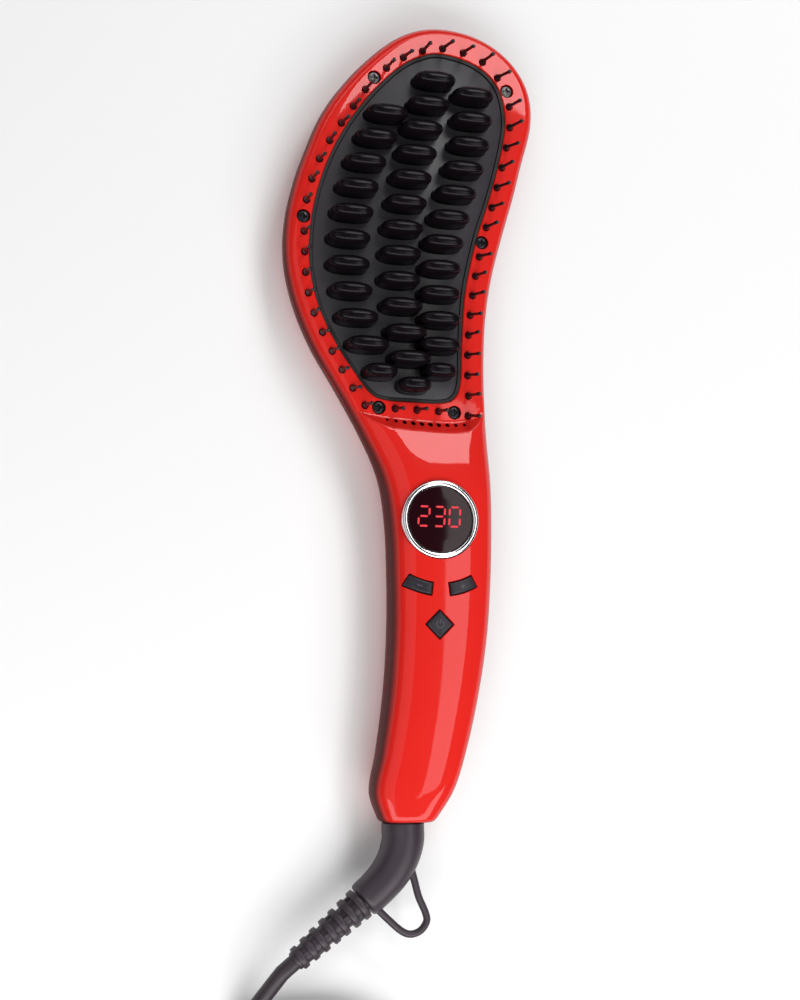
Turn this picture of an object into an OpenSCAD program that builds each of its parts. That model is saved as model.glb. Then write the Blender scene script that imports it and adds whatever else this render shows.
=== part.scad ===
// Heated steam brush for straightening hair, lying on its back with the comb up.
// +Y runs along the handle to the top of the head and +Z up from the table.

/* [Overall] */
// Width of the head at its two widest places
head_w = 90; // [76:1:108]
// Length of the head, from the neck line to the top
head_l = 140; // [116:1:168]
// Length of the handle, from the neck line to its end
handle_l = 144; // [120:1:174]
// Width of the handle at the display
handle_w = 37; // [33:0.5:45]
// Height of the flat rim of the head above the table
rim_z = 19; // [17.5:0.5:23]
// Rise of the handle's crown above the rim
crown_rise = 7.7; // [6.5:0.1:9.3]

/* [Casing] */
// Wall of both shells
wall = 2.2; // [1.8:0.1:2.7]
// Height of the seam between the shells
seam_z = 13.5; // [12.5:0.5:14.5]
// Rounding of the head's upper edge
edge_r = 4; // [3.3:0.1:4.8]
// Radius of the scoop that steps up from the rim to the handle
scoop_r = 6; // [5:0.5:7.2]
// Diameter of the steam outlets in the scoop
outlet_d = 1.7; // [1.2:0.1:2.1]
// Number of steam outlets
outlets = 10; // [6:1:11]

/* [Comb] */
// Height of a heated tooth above the plate
tooth_h = 8.5; // [7:0.5:10.2]
// Length of a tooth, across the brush
tooth_l = 15.2; // [12.8:0.2:15.4]
// Thickness of a tooth at its foot
tooth_t = 5.6; // [4.6:0.2:5.8]
// Thickness of the heater plate
plate_t = 3; // [2.4:0.2:3.6]
// Depth of the plate's face below the rim
plate_drop = 0.8; // [0.5:0.1:1.1]
// Width of the seal round the plate
seal_w = 1; // [0.8:0.1:1.2]

/* [Guard pins] */
// Height of a guard pin above the rim
pin_h = 9; // [7.5:0.5:10.8]
// Diameter of a pin's foot
pin_d = 2.2; // [1.8:0.1:2.7]
// Diameter of a pin's shaft
shaft_d = 1.1; // [0.9:0.1:1.4]
// Diameter of a pin's ball tip
ball_d = 1.5; // [1.4:0.1:1.8]
// Width of the strip that carries the pins
strip_w = 4.6; // [4:0.2:4.8]

/* [Screws] */
// Diameter of a screw's shank
screw_d = 2.6; // [2.2:0.1:3.1]
// Diameter of a screw's head
screw_head_d = 4.2; // [3.6:0.1:4.8]

/* [Display and buttons] */
// Outer diameter of the display's ring
bezel_d = 27.2; // [23:0.2:28]
// Width of the ring
bezel_w = 2.1; // [1.7:0.1:2.6]
// Distance of the display's centre below the neck line
display_drop = 41.5; // [38:0.5:44]
// Radius of the plus and minus buttons' middle, about the display
button_r = 24.1; // [22.5:0.1:26]
// Height of the plus and minus buttons
button_t = 4.2; // [3.6:0.1:4.8]
// Angle that each of the two takes
button_a = 22; // [18:1:24]
// Angle between them
button_gap_a = 15; // [12:1:18]
// Side of the square power button
power_side = 6.8; // [5.8:0.1:8]
// Distance of the power button's centre below the display's
power_drop = 36; // [34:0.5:40]
// Travel of each button
button_travel = 0.6; // [0.5:0.05:0.7]

/* [Swivel and cord] */
// Diameter of the cord guard's neck
neck_d = 14.6; // [12.4:0.1:15.4]
// Diameter of the hanging loop's strand
loop_d = 2.5; // [2.1:0.1:3]
// Number of ribs on the strain relief
ribs = 7; // [5:1:8]
// Diameter of the power cord
cord_d = 5.5; // [4.6:0.1:5.5]

/* [Fits] */
// Gap round a button
button_fit = 0.3; // [0.25:0.05:0.4]
// Gap round a pin's foot in the rim
pin_fit = 0.2; // [0.15:0.05:0.3]
// Gap between the neck and its bearing
swivel_fit = 0.3; // [0.25:0.05:0.4]
// Gap between pieces that lie against each other
seat = 0.1; // [0.05:0.05:0.15]

/* [Hidden] */
eps = 0.01;

// The sizes that the outline below is drawn at
HEAD_W0 = 90;
HEAD_L0 = 140;
HANDLE_L0 = 144;
HANDLE_W0 = 37;
neck_y = 26;
top_y = neck_y + head_l;
end_y = neck_y - handle_l;

// The head's rounded top starts here, about this line
CAP_Y = 120;
CAP_X = 13.8;
CAP_POWER = 2.15;
TOP_Y0 = neck_y + HEAD_L0;

// Outline and height stations from the top of the head to the end of the handle:
// y, left edge, right edge, ridge line, share of the crown's rise, back's height
STATIONS = [
  [166, -20, 53.5, 10, -0.12, 6], [155, -22.5, 53, 10, -0.12, 3], [144, -26.5, 51.4, 9, -0.12, 0.8],
  [132, -31.2, 48.2, 8, -0.12, 0], [120, -35.6, 44.3, 6, -0.12, 0], [105, -40.8, 40.4, 3, -0.12, 0],
  [90, -44, 36, 0, -0.12, 0], [75, -44.2, 32, -2, -0.12, 0], [60, -40.8, 29.5, -2, -0.12, 0],
  [45, -34.3, 28.6, 0, -0.12, 0], [30, -25.2, 28.6, 3, 0.05, 0], [15, -16.8, 29, 6.5, 0.58, 0.4],
  [0, -10.2, 29.7, 8.5, 0.85, 1.2], [-15, -7.6, 29.8, 8.7, 0.98, 1.8], [-35, -6.6, 29.3, 8.7, 1, 1.8],
  [-55, -6.6, 27.8, 8, 1, 1.2], [-75, -7.8, 24.6, 6.4, 0.96, 0.4], [-95, -10.4, 20, 3.6, 0.8, 0],
  [-108, -12.6, 15.6, 1.2, 0.64, 0.6], [-118, -9.4, 9, -0.4, 0.42, 4.5]
];

// Foot of the scoop between the rim and the handle, from left to right
SCOOP = [[-30, 28], [-22, 22.8], [-12, 20.3], [4, 19.3], [17, 19.4], [24, 21.8], [31, 27]];

// Outline of the heater plate, from its top round to the right
PLATE = [
  [12, 153.8], [24, 151.2], [32, 144.5], [34.9, 133.5], [33.4, 121], [29, 104], [23.6, 87],
  [19.4, 68], [17.9, 50], [17.4, 35], [15.2, 29.2], [10, 27.6], [0, 27.6], [-8.5, 27.8],
  [-13.4, 29.6], [-19, 36.5], [-26, 47], [-31.8, 59], [-34.9, 72], [-35.1, 84], [-33.2, 97],
  [-28.8, 111], [-22, 124.5], [-13.5, 136.5], [-4, 146.6], [4, 151.8]
];

// Middle line of each column of teeth: y, x
LEFT_TEETH = [[129.2, -9.5], [105, -19.2], [78, -23.4], [55, -20.4], [35.9, -11.7]];
CENTRE_TEETH = [[143.3, 8.2], [115, 1.1], [90, -3.7], [68, -5], [50, -2.6], [31.8, 0.5]];
RIGHT_TEETH = [[138.9, 22.5], [119.8, 20.8], [96, 14.1], [78, 10.2], [55.5, 9.8], [37.2, 9.8]];
LEFT_COUNT = 11;
CENTRE_COUNT = 13;
RIGHT_COUNT = 12;

// Line of the guard pins between one head screw and the next, with the pins on it
SCREW_A = [-13.2, 143.4];
SCREW_B = [36.8, 143.6];
SCREW_C = [26.8, 85.9];
SCREW_D = [16.2, 23.4];
SCREW_E = [-11.3, 23.8];
SCREW_F = [-38.6, 90.1];
PIN_RUNS = [
  [7, [SCREW_A, [-2, 152.2], [13, 157], [28, 153.4], SCREW_B]],
  [7, [SCREW_B, [37.8, 130], [32.6, 106.5], SCREW_C]],
  [9, [SCREW_C, [23.4, 68], [21.4, 50], [21.2, 34], [21.4, 22.6], SCREW_D]],
  [3, [SCREW_D, [2.5, 23.6], SCREW_E]],
  [10, [SCREW_E, [-16.6, 24.6], [-28, 42.6], [-36.6, 62.4], SCREW_F]],
  [7, [SCREW_F, [-35.8, 103.5], [-29.6, 118], SCREW_A]]
];
// Pad of the pins' strip under the pin at the lower right
STRIP_CORNER = [21.2, 22.6];
STRIP_BEND = [18.4, 25.8];
HEAD_SCREWS = [SCREW_A, SCREW_B, SCREW_C, SCREW_D, SCREW_E, SCREW_F];

// ---- curves ----

function smooth(t) = let (s = min(1, max(0, t))) s * s * (3 - 2 * s);
function row_at(t, y, i = 0) = i >= len(t) - 2 || y >= t[i + 1][0] ? i : row_at(t, y, i + 1);
function slope_at(t, k, c) =
  let (a = max(k - 1, 0), b = min(k + 1, len(t) - 1)) (t[b][c] - t[a][c]) / (t[b][0] - t[a][0]);
// Value of column c at y, on a smooth curve through the rows of a table that falls in y
function curve(t, y, c) =
  let (i = row_at(t, y), h = t[i + 1][0] - t[i][0], s = (y - t[i][0]) / h, s2 = s * s, s3 = s2 * s)
    (2 * s3 - 3 * s2 + 1) * t[i][c] + (s3 - 2 * s2 + s) * h * slope_at(t, i, c)
    + (3 * s2 - 2 * s3) * t[i + 1][c] + (s3 - s2) * h * slope_at(t, i + 1, c);
// One span of a smooth curve through points, from b to c
function span_point(a, b, c, d, s) =
  0.5 * (2 * b + (c - a) * s + (2 * a - 5 * b + 4 * c - d) * s * s + (3 * b - a - 3 * c + d) * s * s * s);
function closed_curve(p, steps) =
  let (n = len(p))
    [for (i = [0:n - 1], k = [0:steps - 1])
       span_point(p[(i + n - 1) % n], p[i], p[(i + 1) % n], p[(i + 2) % n], k / steps)];
function open_curve(p, steps) =
  let (n = len(p))
    [for (i = [0:n - 2], k = [0:steps - 1])
       span_point(i > 0 ? p[i - 1] : 2 * p[0] - p[1], p[i], p[i + 1],
                  i < n - 2 ? p[i + 2] : 2 * p[n - 1] - p[n - 2], k / steps),
     p[n - 1]];
function unit(v) = v / norm(v);
// A closed outline, clockwise from above, moved outwards by d
function grown(p, d) =
  let (n = len(p))
    [for (i = [0:n - 1])
       let (t = unit(p[(i + 1) % n] - p[(i + n - 1) % n])) p[i] + d * [-t[1], t[0]]];
// Distance run along a list of points, up to each of them
function run(p, i = 0, sum = 0) =
  i >= len(p) ? [] : concat([sum + (i > 0 ? norm(p[i] - p[i - 1]) : 0)],
                            run(p, i + 1, sum + (i > 0 ? norm(p[i] - p[i - 1]) : 0)));
function point_at(p, r, s, i = 0) =
  i >= len(p) - 2 || s <= r[i + 1] ? p[i] + (p[i + 1] - p[i]) * (s - r[i]) / (r[i + 1] - r[i])
                                   : point_at(p, r, s, i + 1);

// ---- outline of the casing ----

function drawn_y(y) =
  neck_y + (y - neck_y) * (y > neck_y ? HEAD_L0 / head_l : HANDLE_L0 / handle_l);
function ridge(y) = curve(STATIONS, drawn_y(y), 3);
function widening(v) =
  handle_w / HANDLE_W0 + (head_w / HEAD_W0 - handle_w / HANDLE_W0) * smooth((v + 10) / (neck_y + 10));
function cap(v) =
  v <= CAP_Y ? 1 : pow(max(0, 1 - pow((v - CAP_Y) / (TOP_Y0 - CAP_Y), CAP_POWER)), 1 / CAP_POWER);
function edge(y, c) =
  let (v = drawn_y(y), r = curve(STATIONS, v, 3))
    r + (CAP_X + (curve(STATIONS, v, c) - CAP_X) * cap(v) - r) * widening(v);
function edge_slope(y, c) =
  let (d = 0.05, b = min(y + d, top_y)) (edge(b, c) - edge(y - d, c)) / (b - y + d);
// A point drawn on the head, moved with the head's size
function on_head(p) =
  [curve(STATIONS, p[1], 3) + (p[0] - curve(STATIONS, p[1], 3)) * head_w / HEAD_W0,
   neck_y + (p[1] - neck_y) * head_l / HEAD_L0];
function all_on_head(list) = [for (p = list) on_head(p)];

// How far the section at y has turned from the head's form to the handle's
function handle_share(y) = smooth((30 - drawn_y(y)) / 40);
function crown_z(y) = rim_z + crown_rise * curve(STATIONS, drawn_y(y), 4);
function back_z(y) = max(0, curve(STATIONS, drawn_y(y), 5));
BACK_R = 14;
HANDLE_POWER = 3.5;
BACK_POWER = 2.3;
// Distance from the edge, measured square to it, and the half width on that side
function from_edge(x, y) =
  x < ridge(y) ? (x - edge(y, 1)) / sqrt(1 + pow(edge_slope(y, 1), 2))
               : (edge(y, 2) - x) / sqrt(1 + pow(edge_slope(y, 2), 2));
function half_w(x, y) = x < ridge(y) ? ridge(y) - edge(y, 1) : edge(y, 2) - ridge(y);
function arch(u, p) = pow(1 - pow(1 - min(1, max(0, u)), p), 1 / p);
// Radius of the rounding from the edge inwards: of the rim, the crown and the back
function crown_round(y, half) = edge_r * (1 - handle_share(y)) + half * handle_share(y);
function back_round(y, half) = BACK_R * (1 - handle_share(y)) + half * handle_share(y);
function inner_round(r, d) = r - min(d, r / 2);
// Height of the rim's body, the handle's crown and the back at a point, moved in by d
function rim_top(x, y, d = 0) =
  seam_z + (rim_z - d - seam_z) * arch((from_edge(x, y) - d) / inner_round(edge_r, d), 2);
function crown_top(x, y, d = 0) =
  let (r = inner_round(crown_round(y, half_w(x, y)), d), p = 2 + (HANDLE_POWER - 2) * handle_share(y))
    seam_z + (crown_z(y) - d - seam_z) * arch((from_edge(x, y) - d) / r, p);
function back_top(x, y, d = 0) =
  let (r = inner_round(back_round(y, half_w(x, y)), d))
    seam_z - (seam_z - d - back_z(y)) * arch((from_edge(x, y) - d) / r, BACK_POWER);

// ---- lofts ----

function ring_faces(rows, n) =
  concat([[for (j = [0:n - 1]) j]],
         [[for (j = [0:n - 1]) rows * n - 1 - j]],
         [for (i = [0:rows - 2], j = [0:n - 1])
            [i * n + j, (i + 1) * n + j, (i + 1) * n + (j + 1) % n]],
         [for (i = [0:rows - 2], j = [0:n - 1])
            [i * n + j, (i + 1) * n + (j + 1) % n, i * n + (j + 1) % n]]);
// A solid through closed sections that hold the same number of points
module loft(sections) {
  polyhedron(points = [for (s = sections) each s], faces = ring_faces(len(sections), len(sections[0])));
}

// Sections across the casing from the top down, closer together round the head's top
function rows(from, to, cap_rows = 10, step = 6.6) =
  let (split = neck_y + (CAP_Y - neck_y) * head_l / HEAD_L0, n = ceil((split - to) / step))
    concat([for (k = [0.4:1:cap_rows]) split + (from - split) * cos(90 * k / cap_rows)],
           [for (k = [0:n]) split + (to - split) * k / n]);
function inner_rows(to) = rows(top_y - wall, to, 7, 8);
// How much wider a distance from the edge at y is along a section than square to the edge
function skew(y, c) = sqrt(1 + pow(edge_slope(y, c), 2));
function inner_edge(y, c, d) = edge(y, c) + (c == 1 ? d : -d) * skew(y, c);
// Places from an edge to the end of its rounding, where a is the edge and b the section's middle
function rounding_places(a, b, reach, m) =
  let (e = min(reach, 0.9 * abs(b - a)) * sign(b - a)) [for (k = [0:m]) a + e * (1 - cos(90 * k / m))];
// Sections of the rim, the crown and the back, moved in by d and closed along the seam,
// or a little past it where past isn't zero
function sections(list, d, past, high, round_at) =
  [for (y = list) let (l = inner_edge(y, 1, d), r = inner_edge(y, 2, d)) if (r > l + 1)
     let (mid = l < ridge(y) - 1 && r > ridge(y) + 1 ? ridge(y) : (l + r) / 2, m = d > 0 ? 3 : 4,
          el = inner_round(round_at(y, ridge(y) - edge(y, 1)), d) * skew(y, 1),
          er = inner_round(round_at(y, edge(y, 2) - ridge(y)), d) * skew(y, 2),
          left = rounding_places(l, mid, el, m), right = rounding_places(r, mid, er, m),
          xs = concat(right, [mid], [for (k = [m:-1:0]) left[k]]),
          base = past == 0 ? [] : [[l, y, seam_z + past], [r, y, seam_z + past]])
       concat(base, [for (x = xs) [x, y, high(x, y, d)]])];
function flipped(sections) = [for (s = sections) [for (k = [len(s) - 1:-1:0]) s[k]]];
function rim_sections(list, d, past) =
  sections(list, d, -past, function(x, y, d) rim_top(x, y, d), function(y, half) edge_r);
function crown_sections(list, d, past) =
  sections(list, d, -past, function(x, y, d) crown_top(x, y, d), function(y, half) crown_round(y, half));
function back_sections(list, d, past) =
  flipped(sections(list, d, past, function(x, y, d) back_top(x, y, d),
                   function(y, half) back_round(y, half)));

// ---- places inside the casing ----

plate_top = rim_z - plate_drop;
plate_low = plate_top - plate_t;
plate_line = all_on_head(closed_curve(PLATE, 3));
rim_low = rim_z - wall;
// Outline of the space inside the head's walls, with a little room
head_room = let (list = [for (y = inner_rows(neck_y - 12)) if (y < top_y - wall - 1) y], n = len(list) - 1)
  concat([for (y = list) [inner_edge(y, 2, wall + 0.7), y]],
         [for (k = [n:-1:0]) [inner_edge(list[k], 1, wall + 0.7), list[k]]]);
strip_t = 1.4;
strip_drop = 1.3;
strip_top = rim_low - strip_drop;
strip_low = strip_top - strip_t;
screw_r = screw_d / 2;
screw_head_h = 1.3;
screw_sunk = 0.3;
post_r = 3;
head_screws_at = all_on_head(HEAD_SCREWS);

display_y = neck_y - display_drop;
display_x = ridge(display_y);
display_top = crown_z(display_y) + 0.4;
lens_t = 1.4;
lens_top = display_top - 0.5;
lens_r = bezel_d / 2 - bezel_w;
lens_ledge = 0.9;
power_y = display_y - power_drop;
power_x = ridge(power_y);
button_lift = 0.5;

pcb_t = 1.6;
pcb_top = seam_z + 2.1;
pcb_low = pcb_top - pcb_t;
pcb_w = 21;
pcb_from = neck_y - 24;
bearing_at = end_y + 17;
bearing_t = 2.4;
swivel_front = bearing_at + bearing_t;
// A short handle has a shorter board and tank
squeeze = max(0, swivel_front + 18 - (neck_y - 91));
pcb_to = neck_y - 91 + squeeze;
tact_side = 6;
tact_h = 3.2;
plunger_r = 1.7;
plunger_top = pcb_top + tact_h + 0.8;
stem_low = plunger_top + button_travel + seat;
minus_at = [display_x - button_r * sin((button_a + button_gap_a) / 2),
            display_y - button_r * cos((button_a + button_gap_a) / 2)];
plus_at = [display_x + button_r * sin((button_a + button_gap_a) / 2),
           display_y - button_r * cos((button_a + button_gap_a) / 2)];

pcb_posts = [for (x = [-9, 9], y = [pcb_to + 2.4, pcb_to + 29]) [display_x + x, y]];
post_foot_r = 2.2;

tank_w = 19;
tank_l = 36 - squeeze;
tank_wall = 1.2;
tank_low = wall + 2.8;
tank_top = 10.6;
tank_at = [display_x + 0.4, neck_y - 24 - tank_l / 2];
filler_y = tank_at[1] + 8;
filler_z = tank_low + 2.5;
filler_r = 2.3;
plug_cap_r = 4;
plug_cap_t = 1.6;
filler_face = edge(filler_y, 2) - 2.4;

chamber_w = 27;
chamber_low = 10.6;
chamber_top = rim_z - wall - 0.9;
chamber_y = [neck_y - 15.5, neck_y - 6.6];
outlet_reach = 2.7;
outlet_span = 28;
outlet_x = 5.5;
nozzle_at = [outlet_x, neck_y - 8.8];

neck_x = curve(STATIONS, -118, 3) - 0.8;
neck_z = seam_z;
end_wall = 2.6;
groove = 1.9;
shaft_r = neck_d / 2 - groove;
hub_flange_t = 2.4;
hub_lip = 0.9;
carrier_r = 3.4;
ring_t = 0.9;
ring_l = 2;
ring_at = [end_y + 8.4, end_y + 13.2];
hub_end = bearing_at + bearing_t + 0.8;
block_low = 6.7;
block_w = 10.2;
block_t = 1.4;

post_room = pcb_to - swivel_front;
screw_posts_y = [for (share = [0.673, 0.226]) swivel_front + post_room * share];
sink_h = 4.4;

// ---- small shapes ----

// A post that widens towards its foot
module post(at, low, high, r) {
  hull() {
    translate([at[0], at[1], low]) cylinder(r = r + 0.6, h = 0.6, $fn = 16);
    translate([at[0], at[1], low]) cylinder(r = r, h = high - low, $fn = 16);
  }
}
module hole(at, low, high, r, sides = 24) {
  translate([at[0], at[1], low]) cylinder(r = r, h = high - low, $fn = sides);
}
module along_y(at, from, to, r1, r2) {
  translate([at[0], from, at[1]]) rotate([-90, 0, 0]) cylinder(r1 = r1, r2 = r2, h = to - from, $fn = 48);
}
module along_x(at, from, to, r) {
  translate([from, at[0], at[1]]) rotate([0, 90, 0]) cylinder(r = r, h = to - from, $fn = 40);
}
// Corners of a rectangle with round corners
function rounded(w, l, r) =
  [for (q = [0:3], k = [0:3]) let (a = 90 * q + 30 * k)
     [(q == 0 || q == 3 ? 1 : -1) * (w / 2 - r) + r * cos(a), (q < 2 ? 1 : -1) * (l / 2 - r) + r * sin(a)]];
module block(at, size, low) {
  translate([at[0] - size[0] / 2, at[1] - size[1] / 2, low]) cube(size);
}
module screw(at, top, low) {
  translate([at[0], at[1], 0]) difference() {
    union() {
      translate([0, 0, top - screw_head_h]) cylinder(r = screw_head_d / 2, h = screw_head_h, $fn = 32);
      translate([0, 0, low]) cylinder(r = screw_r, h = top - low, $fn = 24);
    }
    for (a = [0, 90]) rotate(a)
      translate([-screw_head_d * 0.3, -screw_head_d * 0.07, top - 0.7])
        cube([screw_head_d * 0.6, screw_head_d * 0.14, 1]);
  }
}

// The space that the scoop takes off the front of the handle, widened by d
module scoop(d) {
  path = all_on_head(open_curve(SCOOP, d > 0 ? 1 : 2));
  for (i = [0:len(path) - 2]) hull() for (p = [path[i], path[i + 1]])
    translate([p[0], p[1], rim_z + scoop_r - 0.1]) sphere(r = scoop_r + d, $fn = d > 0 ? 14 : 22);
  translate([0, 0, rim_z - d])
    linear_extrude(20) polygon(concat(path, [[head_w, top_y], [-head_w, top_y]]));
}

// ---- buttons ----

// Outline of a plus or minus button; side is 1 for plus and -1 for minus
function arc_sections(side, grow, steps) =
  let (more = asin(grow / button_r), a0 = button_gap_a / 2 - more, a1 = button_gap_a / 2 + button_a + more)
    [for (k = [0:steps]) let (a = a0 + (a1 - a0) * k / steps)
       [for (r = [button_r - button_t / 2 - grow, button_r, button_r + button_t / 2 + grow])
          [display_x + side * r * sin(a), display_y - r * cos(a)]]];
function square_sections(grow, steps) =
  let (h = power_side / 2 + grow)
    [for (k = [0:steps]) let (u = -h + 2 * h * k / steps)
       [for (v = [-h, 0, h]) [power_x + (u + v) * sqrt(0.5), power_y + (u - v) * sqrt(0.5)]]];
function outline_of(s) =
  let (n = len(s) - 1)
    concat([for (p = s) p[0]], [for (k = [n:-1:0]) s[k][2]]);
module button(sections, stem_at, flip) {
  low = stem_low + 0.6;
  rows = [for (s = sections)
            concat([[s[0][0], s[0][1], low]],
                   [for (p = s) [p[0], p[1], crown_top(p[0], p[1]) + button_lift]],
                   [[s[2][0], s[2][1], low]])];
  loft(flip ? [for (k = [len(rows) - 1:-1:0]) rows[k]] : rows);
  translate([stem_at[0], stem_at[1], stem_low]) cylinder(r = plunger_r, h = 0.6, $fn = 24);
}
module window(sections) {
  translate([0, 0, seam_z + 1]) linear_extrude(30) polygon(outline_of(sections));
}

// ---- guard pins ----

function pins_on(count, line) =
  let (p = all_on_head(open_curve(line, 6)), r = run(p), total = r[len(r) - 1])
    [for (k = [0:count - 1]) point_at(p, r, total * (k + 0.75) / (count + 0.5))];
pins_at = [for (line = PIN_RUNS) each pins_on(line[0], line[1])];
module pin() {
  h = rim_z + pin_h - strip_top;
  foot = rim_z - strip_top + 1.3;
  r = pin_d / 2;
  b = ball_d / 2;
  s = shaft_d / 2;
  a0 = asin(s / b);
  rotate_extrude($fn = 24)
    polygon(concat([[0, -eps], [r, -eps], [r, foot - 0.4], [r * 0.82, foot], [s * 1.15, foot + 0.5]],
                   [for (a = [a0:(180 - a0) / 4:179]) [b * sin(a), h - b - b * cos(a)]], [[0, h]]));
}

// ---- teeth ----

TOOTH_SIDES = 12;
TOOTH_RINGS = [[0, 1, 1], [0.6, 0.97, 0.95], [0.84, 0.9, 0.82], [0.96, 0.76, 0.56], [1, 0.5, 0.24]];
// Outline fuller than an ellipse
function full(v) = sign(v) * pow(abs(v), 0.8);
module tooth(l, t) {
  loft([for (ring = TOOTH_RINGS)
          [for (k = [0:TOOTH_SIDES - 1]) let (a = 360 * (k + 0.5) / TOOTH_SIDES)
             [l / 2 * ring[1] * full(cos(a)), t / 2 * ring[2] * full(sin(a)), tooth_h * ring[0]]]]);
}
module tooth_column(line, count) {
  y0 = line[0][0];
  y1 = line[len(line) - 1][0];
  for (k = [0:count - 1]) {
    y = y0 + (y1 - y0) * k / (count - 1);
    at = on_head([curve(line, y, 1), y]);
    last = k == count - 1 ? 0.78 : 1;
    translate([at[0], at[1], plate_top]) tooth(tooth_l * last, tooth_t);
  }
}

// ---- cord ----

function tube_ring(c, t, r, n) =
  let (s = unit(cross(t, [0, 0, 1])), u = cross(s, t))
    [for (k = [0:n - 1]) let (a = -90 - 360 * k / n) c + r * (cos(a) * s + sin(a) * u)];
function tangent(p, i) = unit(p[min(i + 1, len(p) - 1)] - p[max(i - 1, 0)]);
module tube(path, radii, n) {
  loft([for (i = [0:len(path) - 1]) tube_ring(path[i], tangent(path, i), radii[i], n)]);
}
function same(r, p) = [for (q = p) r];

cord_r = cord_d / 2;
COIL_AT = [-28, -226];
COIL_ANGLE = 150;
COIL_TURNS = 8;
coil_pitch = 6;
coil_r = 20;
coil_rise = 6;
RINGS = 24;
function coil_climb(t) = smooth((t - COIL_TURNS / 2 + 0.25) / 0.5);
function coil_point(t) =
  let (r = coil_r + coil_pitch * abs(t - COIL_TURNS / 2), a = COIL_ANGLE + 360 * t)
    [COIL_AT[0] + r * cos(a), COIL_AT[1] + r * sin(a), cord_r + coil_rise * coil_climb(t)];
function coil_heading(t) = unit(coil_point(t + 0.01) - coil_point(t - 0.01));
coil_in = coil_point(0) - cord_d * coil_heading(0.01);
coil_out = coil_point(COIL_TURNS) + cord_d * coil_heading(COIL_TURNS - 0.01);
coil_line = [for (k = [0:COIL_TURNS * RINGS]) coil_point(k / RINGS)];
coil_gap = min([for (i = [0:len(coil_line) - 1], j = [i + RINGS / 2:1:len(coil_line) - 1])
                  norm(coil_line[i] - coil_line[j])]) - cord_d;

// Middle line of the guard from the neck through its elbow, with its radii
guard_from = [neck_x, end_y - 0.3];
ELBOW = [[0, -1.5], [0, -6], [-1.6, -11.5], [-4.6, -16.6], [-8.6, -21], [-13.4, -25.2]];
ELBOW_D = [0, -0.1, -0.5, -1.1, -1.7, -2];
relief_from = guard_from + ELBOW[5];
relief_way = unit([-24, -19.6]);
relief_l = 30;
rib_pitch = relief_l / ribs;
rib_t = rib_pitch * 0.55;
LOOP = [[2.4, -14.2], [3.9, -18.5], [5.6, -24.6], [8, -30], [8.4, -33], [6.3, -35.9], [2.9, -37],
        [-0.5, -35.8], [-5, -32], [-8.4, -28.8], [-11.2, -26.4]];
cord_exit = concat(relief_from + relief_way * (relief_l + 0.6), [neck_z]);
LEAD = [[-50, -177, 9.2], [-55, -185, 5]];
TAIL = [[-75, -223, 7.8]];
plug_at = [-78, -246, 7];
lead_start = cord_exit + concat(relief_way, [0]) * cord_d;
lead_end = coil_in - cord_d * coil_heading(0.01);
lead_line = concat([cord_exit], open_curve(concat([lead_start], LEAD, [lead_end]), 2), [coil_in]);
tail_start = coil_out + cord_d * coil_heading(COIL_TURNS - 0.01);
tail_end = plug_at + [0, cord_d, 0];
tail_line = concat([coil_out], open_curve(concat([tail_start], TAIL, [tail_end]), 2), [plug_at]);
plug_w = 35;
plug_t = 13.6;
plug_l = 34;
pin_gap = 19;
plug_pin_l = 19;
plug_pin_r = 2;

echo(least_gap_of_coil = coil_gap);

// ---- sub-parts ----

module back_cover() {
  color("firebrick") difference() {
    union() {
      difference() {
        loft(back_sections(rows(top_y, end_y), 0, 0));
        loft(back_sections(inner_rows(end_y + end_wall), wall, 1));
      }
      intersection() {
        loft(back_sections(inner_rows(end_y + 1), wall / 2, 4));
        union() {
          for (p = head_screws_at) post(p, 0, strip_low - seat, post_r);
          for (p = pcb_posts) post(p, 0, pcb_low, post_foot_r);
          for (y = screw_posts_y) post([ridge(y), y], 0, sink_h + 3, screw_head_d / 2 + 1.6);
          for (x = [-3.6, 3.6]) post([neck_x + x, ring_at[0] + 2], 0, block_low - seat, 1.2);
        }
      }
    }
    for (p = head_screws_at) hole(p, 6, rim_z, screw_r + seat, 16);
    for (y = screw_posts_y) {
      hole([ridge(y), y], -1, sink_h, screw_head_d / 2 + 0.3);
      hole([ridge(y), y], -1, rim_z, screw_r + 0.2, 16);
    }
    along_x([filler_y, filler_z], filler_face - 10, filler_face + 8, plug_cap_r + 0.3);
    along_y([neck_x, neck_z], end_y - 1, end_y + end_wall + 1, shaft_r + swivel_fit, shaft_r + swivel_fit);
  }
}
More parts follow.
